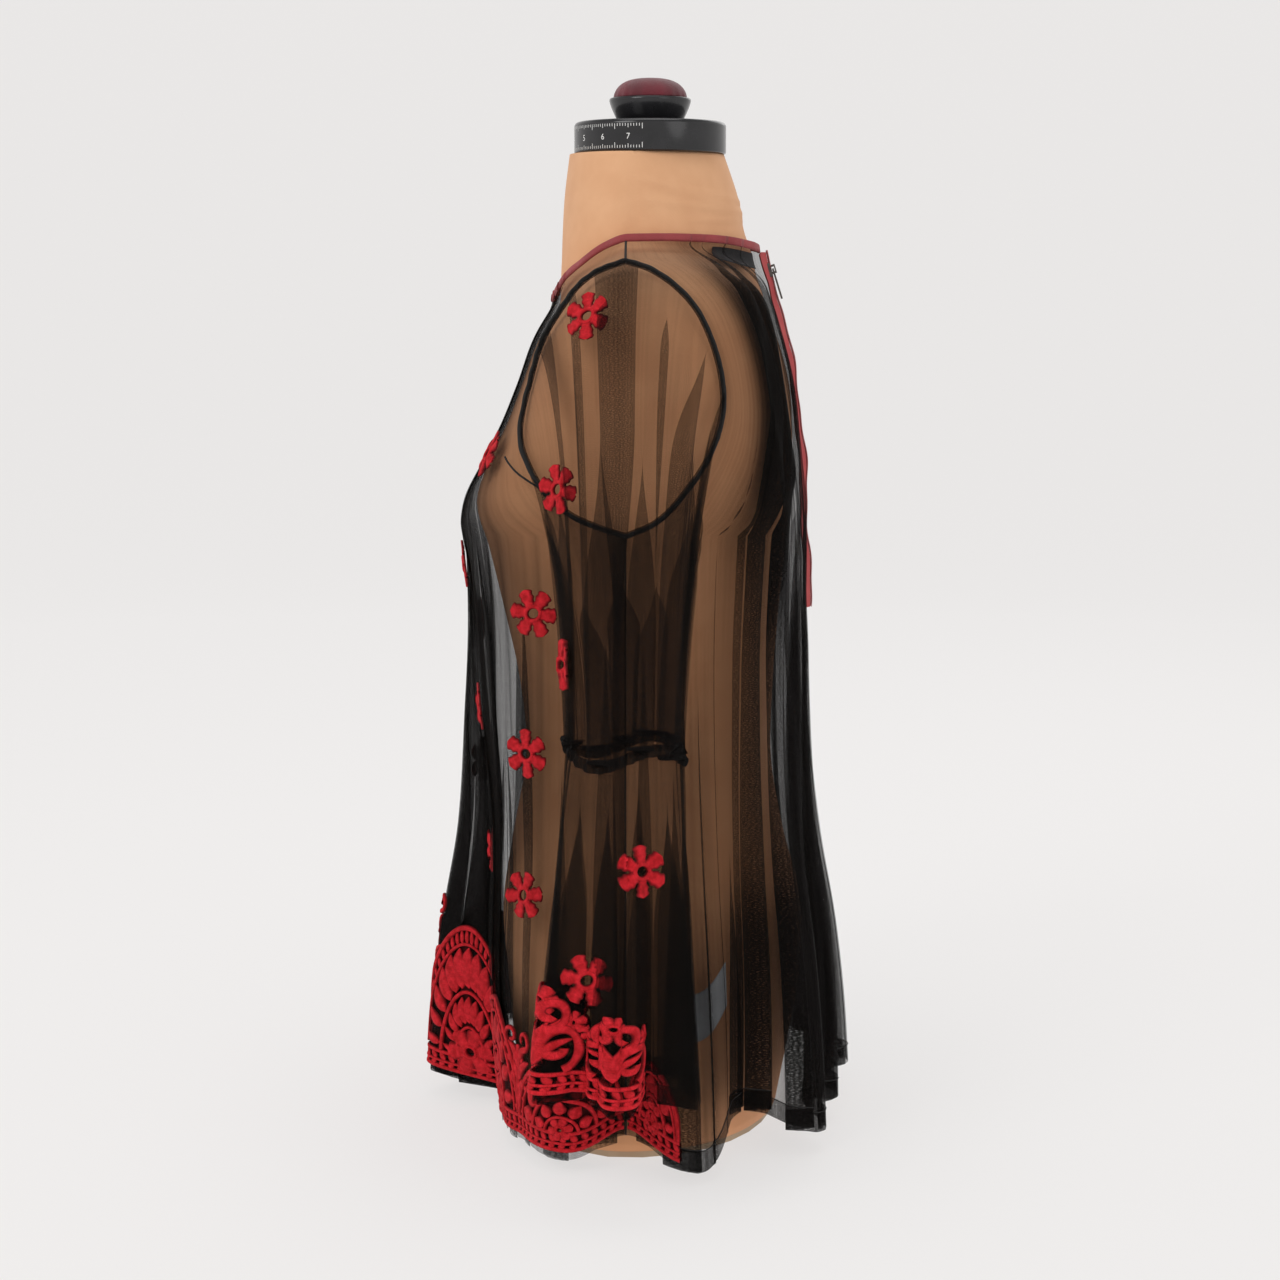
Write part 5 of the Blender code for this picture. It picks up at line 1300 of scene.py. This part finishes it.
def build_seams(panels, sleeves):
    """Seam allowances inside, and the stitching that shows as dark lines."""
    bands, threads = [], []
    front = panels["front_panel"]
    for column, way in ((-1, -1), (0, 1)):
        line = front["grid"][:SKIRT_ROWS + 1, column]
        normal = front["normal"][:SKIRT_ROWS + 1, column]
        across = unit(front["grid"][:SKIRT_ROWS + 1, column + way] - line)
        bands.append(strip(line, normal, across, 0.009, -0.0009))
        threads.append(tube(line - normal * 0.0002, 0.0007, 6))
        top = front["grid"][-1 - round(TOP_ROWS * (1 - ARMHOLE_SHARE)):, column]
        threads.append(tube(top, 0.0009, 6))
    for name, column, way in (("back_left", -1, -1), ("back_right", 0, 1)):
        back = panels[name]
        line, normal = back["grid"][:SKIRT_ROWS, column], back["normal"][:SKIRT_ROWS, column]
        across = unit(back["grid"][:SKIRT_ROWS, column + way] - line)
        bands.append(strip(line, normal, across, 0.010, -0.0009))
    for word, side in SIDES:
        points, away, normal = sleeves[f"seam_{word}"]
        inward = unit(points.mean(0) - points)
        wave = gathers(np.linspace(0, 2 * math.pi, len(points)), 38, 60) * 0.0003
        ridge = points + away * (0.0014 + wave)[:, None]
        threads.append(tube(ridge, 0.0018, 8, way=normal))
        bands.append(strip(points, -away, inward, 0.003, -0.0016))
        dart = body_points(np.linspace(0.57, 0.775, 14) * side, np.linspace(0.512, 0.488, 14))
        threads.append(tube(dart, 0.0008, 6, way=(side, -0.5, 0)))
    r = int(HEM_LINE)
    for panel in panels.values():
        line = panel["grid"][r] * (1 - HEM_LINE + r) + panel["grid"][r + 1] * (HEM_LINE - r)
        threads.append(tube(line + panel["normal"][r] * 0.0002, 0.0004, 5))
    joined("seam_allowances", bands, NET_SEAM, slot="net_band")
    joined("seam_stitching", threads, THREAD, slot="net_band")


def neck_line(panels):
    """The top edge of the body from the zip round to the zip, with its directions."""
    edge, rise, normal = [], [], []
    for name in ("back_right", "front_panel", "back_left"):
        grid, away = panels[name]["grid"], panels[name]["normal"]
        for c in range(0 if name == "back_right" else 1, grid.shape[1], 3):
            edge.append(grid[-1, c])
            rise.append(grid[-1, c] - grid[-3, c])
            normal.append(away[-1, c])
    up = unit(evened(unit(np.array(rise)), 6) + (0, 0, 1.6))
    return np.array(edge), up, evened(unit(np.array(normal)), 6)


BINDING_HEIGHT = 0.0062
BINDING_THICK = 0.0024
BINDING_SIDES = 18


def build_binding(panels):
    """A folded bias strip round the neck, puckered by its stitching."""
    edge, up, normal = neck_line(panels)
    along = unit(np.gradient(edge, axis=0))
    out = unit(np.cross(along, up))
    out = np.where(np.sum(out * normal, 1)[:, None] < 0, -out, out)
    turn = full_turn(BINDING_SIDES)
    count = len(edge)
    length = lengths_along(edge)
    pucker = 1 + 0.09 * np.sin(length / 0.0026) + 0.06 * np.sin(length / 0.0041 + 1)
    square = 0.55
    side = np.sign(np.cos(turn)) * np.abs(np.cos(turn)) ** square
    rise = np.sign(np.sin(turn)) * np.abs(np.sin(turn)) ** square
    middle = edge + up * (BINDING_HEIGHT / 2 + 0.0002)
    points = middle[:, None] + out[:, None] * (side[None] * BINDING_THICK / 2 * pucker[:, None])[..., None]
    points = points + up[:, None] * (rise * BINDING_HEIGHT / 2)[None, :, None]
    uv = np.stack(np.broadcast_arrays(length[:, None], turn[None] * 0.002), -1).reshape(-1, 2)
    first_ring = range(BINDING_SIDES)
    caps = [list(first_ring)[::-1], [(count - 1) * BINDING_SIDES + k for k in first_ring]]
    faces = grid_quads(count, BINDING_SIDES, around=True).tolist() + caps
    made = mesh_object("binding_strip", points.reshape(-1, 3), faces, BINDING, uv)
    ride(made, "neck_binding", slot="binding")
    stitch = []
    low = middle - up * BINDING_HEIGHT * 0.36 + out * BINDING_THICK * 0.52
    for k in range(0, count - 2, 2):
        path = np.array((low[k], low[k] * 0.4 + low[k + 1] * 0.6))
        stitch.append(tube(path, 0.00022, 5))
    joined("binding_stitching", stitch, BINDING, slot="binding")


ZIP_LOW_Z = 0.383
ZIP_STAND = 0.0042
TAPE_GAP = 0.0024
TAPE_WIDTH = 0.0080
COIL_PITCH = 0.0014


def zip_path(panels):
    """The zip's line down the centre back, and its outward directions."""
    left, right = panels["back_left"]["grid"][:, -1], panels["back_right"]["grid"][:, 0]
    middle = (left + right) / 2
    middle = middle[middle[:, 2] >= ZIP_LOW_Z]
    z = np.linspace(middle[0, 2], middle[-1, 2] + 0.001, 120)
    y = evened(np.interp(z, middle[:, 2], middle[:, 1]), 8)
    path = np.stack((0 * z, y, z), 1)
    rise = unit(np.gradient(path, axis=0))
    return path, np.stack((0 * z, rise[:, 2], -rise[:, 1]), 1)


def build_zip(panels):
    path, out = zip_path(panels)
    count = len(path)
    wave = 0.0013 * np.sin(np.linspace(0, 19, count)) + 0.0005 * np.sin(np.linspace(1, 47, count))
    for word, side in SIDES:
        tree = surface_tree(panels[f"back_{word}"]["grid"])
        lines = []
        for share in np.linspace(0, 1, 6):
            x = side * (TAPE_GAP + TAPE_WIDTH * share)
            lift = ZIP_STAND * (1 - share) ** 1.4 + wave * (1 - share * 0.5) + 0.0009
            line = []
            for k in range(count):
                start = Vector((x, 0.4, path[k, 2]))
                hit = tree.ray_cast(start, Vector((0, -1, 0)))
                y = hit[0].y if hit[0] else path[k, 1]
                line.append((x, y + lift[k], path[k, 2]))
            lines.append(line)
        grid = np.array(lines)
        grid = grid[::-1] if side > 0 else grid
        made = grid_object(f"tape_{word}", grid, TAPE)
        ride(made, f"zip_tape_{word}", slot="zip_tape")
    crest = path + out * (ZIP_STAND + 0.0009 + wave)[:, None]
    length = lengths_along(crest)
    teeth = []
    turns = int(length[-1] / COIL_PITCH)
    for side in (1, -1):
        t = np.linspace(0, length[-1], turns * 8)
        spine = between(t, length, crest)
        way = between(t, length, out)
        a = 2 * math.pi * t / COIL_PITCH + (0 if side > 0 else math.pi)
        coil = spine + way * (0.0007 + 0.0006 * np.sin(a))[:, None]
        coil[:, 0] = side * 0.0011 + 0.0013 * np.cos(a)
        teeth.append(tube(coil, 0.00032, 5, way=(0.2, 1.0, 0.1)))
    joined("zip_coil", teeth, COIL, "zip_teeth", slot="zip_teeth")


def rounded(name, node_name, finish, width):
    """A CAD node's own shape with softened edges."""
    made = add_object(name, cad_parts[node_name].data.copy())
    made.data.materials.clear()
    made.data.materials.append(finish)
    bevel = made.modifiers.new("edges", "BEVEL")
    bevel.width = width
    bevel.segments = 3
    bevel.limit_method = "ANGLE"
    return made


def build_hardware():
    slider = rounded("slider_shape", "zip_slider", METAL, 0.0004)
    ride(slider, "zip_slider", slot="zip_metal")
    pull = rounded("pull_shape", "zip_pull", METAL, 0.0003)
    ride(pull, "zip_pull", slot="zip_metal", body="zip_pull")


def label(name, panel, place_range, rows_at, drop, finish):
    """A thin label that hangs just inside a panel."""
    grid, places = panel["plain"], panel["places"]
    normal = grid_normals(grid)
    columns = np.interp(np.linspace(*place_range, 14), places, np.arange(len(places)))
    rows = np.linspace(*rows_at, 12)
    rows, columns = np.meshgrid(rows, columns, indexing="ij")
    sheet = bilinear(grid, rows, columns) - bilinear(normal, rows, columns) * drop
    made = grid_object(f"{name}_cloth", sheet, finish)
    solid = made.modifiers.new("thickness", "SOLIDIFY")
    solid.thickness = 0.0004
    ride(made, name, slot="black_label" if finish == BLACK_LABEL else "white_label")


def build_labels(panels):
    back = panels["back_left"]
    top = back["grid"].shape[0] - 1
    label("neck_label", back, (1.53, 1.88), (top - 4.0, top - 0.4), 0.0026, BLACK_LABEL)
    label("care_label", back, (1.16, 1.2733), (8.96, 12.26), 0.0016, CARE)


# Dress form

# Creases of the cover on the neck: where each starts, slope, depth and width
COVER_CREASES = (
    (-0.011, 0.713, -0.20, 0.0008, 0.0022), (0.012, 0.706, -0.28, 0.0007, 0.0025),
    (-0.007, 0.698, -0.13, 0.0007, 0.0022), (0.030, 0.682, 0.05, 0.0006, 0.0020),
)


def build_torso():
    heights = np.concatenate((np.linspace(0.006, 0.60, 90), np.linspace(0.604, 0.733, 60)))
    rings = []
    for z in heights:
        points = half_section(z, FORM_SECTIONS, FORM_NECK)
        length = lengths_along(points)
        even = np.linspace(0, length[-1], 65)
        left = between(even, length, points)
        ring = np.concatenate((left, left[1:-1][::-1] * (-1, 1)))
        rings.append(np.column_stack((ring, np.full(len(ring), z))))
    grid = np.array(rings)
    normal = grid_normals(grid, True)
    x, y, z = grid[..., 0], grid[..., 1], grid[..., 2]
    lift = np.zeros_like(x)
    for start_y, start_z, slope, depth, width in COVER_CREASES:
        off = z - (start_z + slope * (y - start_y))
        along = np.clip((y - start_y + 0.01) / 0.02, 0, 1)
        lift += depth * np.exp(-((off / width) ** 2)) * along
    seam = np.exp(-(((y - AXIS_Y - 0.006) / 0.0012) ** 2)) * (z > 0.66)
    lift -= 0.0006 * seam
    made = closed_rings("torso_cover", grid + normal * lift[..., None], heights[0], heights[-1], COVER)
    ride(made, "form_torso", slot="form_cover")


TURNED_SIDES = 96


def turned_rings(profile):
    """Rings about the form's axis from radius and height pairs."""
    turn = full_turn(TURNED_SIDES)
    rings = [np.stack((r * np.cos(turn), r * np.sin(turn), 0 * turn + z), 1) for r, z in profile]
    return np.array(rings)


def turned(name, profile, finish):
    return closed_rings(name, turned_rings(profile), profile[0][1], profile[-1][1], finish)


def rim(radius, low, high, bevel_low, bevel_high):
    """A disc's profile with rounded edges."""
    points = [(radius - bevel_low - 0.004, low)]
    corners = ((bevel_low, low + bevel_low, -90, 4), (bevel_high, high - bevel_high, 0, 6))
    for bevel, middle, start, steps in corners:
        for k in range(steps + 1):
            a = math.radians(start + 90 * k / steps)
            points.append((radius - bevel + bevel * math.cos(a), middle + bevel * math.sin(a)))
    return points


# The collar's cup, by radius and height
CUP = (
    (0.0220, 0.7573), (0.0238, 0.7576), (0.0252, 0.7590), (0.0272, 0.7630), (0.0292, 0.7675),
    (0.0304, 0.7710), (0.0309, 0.7730), (0.0307, 0.7744), (0.0299, 0.7750), (0.0280, 0.7750),
)
# Printed marks go round the front half of the cap's rim, by angle
FIRST_MARK, LAST_MARK, MARKS = -176.0, -6.0, 80
CAP_RADIUS, CAP_LOW, CAP_HIGH = 0.0575, 0.7333, 0.757
MARK_LIFT = 0.00012
MARKS_LOW, MARKS_HIGH, MARK_WIDTH = 0.7354, 0.7532, 0.0005
NUMBER_LOW, NUMBER_SIZE = 0.7418, 0.0062
CUSHION_RADIUS, CUSHION_LOW, CUSHION_HIGH = 0.0275, 0.7753, 0.790


def build_cap():
    cap = turned("cap_disc", rim(CAP_RADIUS, CAP_LOW, CAP_HIGH, 0.0015, 0.0035), BLACK)
    ride(cap, "neck_cap", slot="black_plastic")
    collar = turned("collar_disc", CUP, BLACK)
    ride(collar, "knob_collar", slot="black_plastic")
    marks = []
    radius = CAP_RADIUS + MARK_LIFT
    for k in range(MARKS + 1):
        a = math.radians(FIRST_MARK + (LAST_MARK - FIRST_MARK) * k / MARKS)
        tall = 0.0040 if k % 10 == 0 else 0.0030 if k % 5 == 0 else 0.0020
        marks.append(tick(a, radius, MARKS_LOW, tall))
        marks.append(tick(a, radius, MARKS_HIGH - tall, tall))
    joined("cap_scale", marks, WHITE, slot="white_label", smooth=False)
    for k in range(MARKS // 10):
        a = math.radians(FIRST_MARK + (LAST_MARK - FIRST_MARK) * (k + 0.5) * 10 / MARKS)
        add_number(k, a, radius)
    profile = []
    for k in range(26):
        a = math.radians(88) * k / 25
        tall = (CUSHION_HIGH - CUSHION_LOW) * math.sin(a)
        profile.append((CUSHION_RADIUS * math.cos(a) ** 0.7, CUSHION_LOW + tall))
    cushion = turned("cushion_cloth", profile, VELVET)
    for vertex in cushion.data.vertices:
        a = math.atan2(vertex.co.y, vertex.co.x)
        low = max(0.0, 1 - (vertex.co.z - CUSHION_LOW) / 0.008)
        scale = 1 + 0.012 * low * math.sin(22 * a)
        vertex.co.x *= scale
        vertex.co.y *= scale
    ride(cushion, "pin_cushion", slot="pin_cloth")


def tick(angle, radius, low, tall):
    """A printed mark on the cap's rim."""
    points = []
    for z in (low, low + tall):
        for off in (-MARK_WIDTH / 2, MARK_WIDTH / 2):
            a = angle + off / radius
            points.append((radius * math.cos(a), radius * math.sin(a), z))
    return np.array(points), np.array([[0, 1, 3, 2]]), np.zeros((4, 2))


def add_number(number, angle, radius):
    """A plain number printed beside a long mark."""
    text = bpy.data.curves.new(f"cap_number_{number}", "FONT")
    text.body = str(number)
    text.size = NUMBER_SIZE
    text.align_x = "CENTER"
    text.materials.append(WHITE)
    made = add_object(f"cap_number_{number}", text)
    out = Vector((math.cos(angle), math.sin(angle), 0))
    right = Vector((-math.sin(angle), math.cos(angle), 0))
    turn = Matrix((right, Vector((0, 0, 1)), out)).transposed().to_4x4()
    turn.translation = out * radius + Vector((0, 0, NUMBER_LOW))
    made.matrix_world = turn
    ride(made, slot="white_label")


# Studio

# The floor's flat radius, the radius of its curve up into the wall, and the wall's top
FLOOR_RADIUS, WALL_CURVE, WALL_TOP = 3.2, 1.6, 4.2
# Lights: name, place, size and power
LIGHTS = (
    ("key", (1.9, -1.7, 2.3), 1.5, 23), ("fill", (2.2, 1.9, 1.5), 1.6, 6),
    ("top", (0.0, 0.0, 2.7), 1.8, 13), ("back", (-2.0, 1.0, 1.8), 1.6, 5),
)
LIT_POINT = Vector((0, 0, 0.45))
CAMERA_PLACE = (2.0, -0.0077, 0.624)
CAMERA_DOWN = 7.46
CAMERA_LENS = 73.04


def build_studio():
    """A pale floor that curves up into a wall all round, with soft lights."""
    profile = [(1.0, 0.0), (FLOOR_RADIUS, 0.0)]
    for k in range(1, 13):
        a = math.radians(90 * k / 12)
        profile.append((FLOOR_RADIUS + WALL_CURVE * math.sin(a), WALL_CURVE - WALL_CURVE * math.cos(a)))
    profile.append((FLOOR_RADIUS + WALL_CURVE, WALL_TOP))
    grid = turned_rings(profile)
    points = np.concatenate((grid.reshape(-1, 3), [(0, 0, 0)]))
    faces = grid_quads(*grid.shape[:2], around=True).tolist()
    faces += [[len(points) - 1, (c + 1) % TURNED_SIDES, c] for c in range(TURNED_SIDES)]
    made, _, shader = material("studio", (0.22, 0.215, 0.21), 0.9)
    shader.inputs["Emission Color"].default_value = (1.0, 0.985, 0.98, 1)
    shader.inputs["Emission Strength"].default_value = 0.64
    floor = mesh_object("studio_floor", points, faces, made)
    for name, spot, size, power in LIGHTS:
        data = bpy.data.lights.new(name, "AREA")
        data.shape = "DISK"
        data.size = size
        data.energy = power
        lamp = add_object(name, data)
        lamp.location = spot
        lamp.rotation_euler = (LIT_POINT - Vector(spot)).to_track_quat("-Z", "Y").to_euler()
    world = bpy.data.worlds.new("studio_light")
    world.use_nodes = True
    background = world.node_tree.nodes["Background"]
    background.inputs["Color"].default_value = (1.0, 0.99, 0.98, 1)
    background.inputs["Strength"].default_value = 0.45
    bpy.context.scene.world = world


def build_camera():
    data = bpy.data.cameras.new("camera")
    data.sensor_width = 36.0
    data.lens = CAMERA_LENS
    camera = add_object("camera", data)
    camera.location = CAMERA_PLACE
    camera.rotation_euler = (math.radians(90 - CAMERA_DOWN), 0, math.radians(90))
    bpy.context.scene.camera = camera


def main():
    build_camera()
    build_studio()
    build_torso()
    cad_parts["form_board"].material_slots[0].material = BOARD
    build_cap()
    panels = build_body()
    sleeves = build_sleeves()
    build_lace()
    build_flowers(panels, sleeves)
    build_seams(panels, sleeves)
    build_binding(panels)
    build_zip(panels)
    build_hardware()
    build_labels(panels)
    bpy.context.scene.view_settings.view_transform = "Standard"
    bpy.context.scene.cycles.transparent_max_bounces = 48


main()
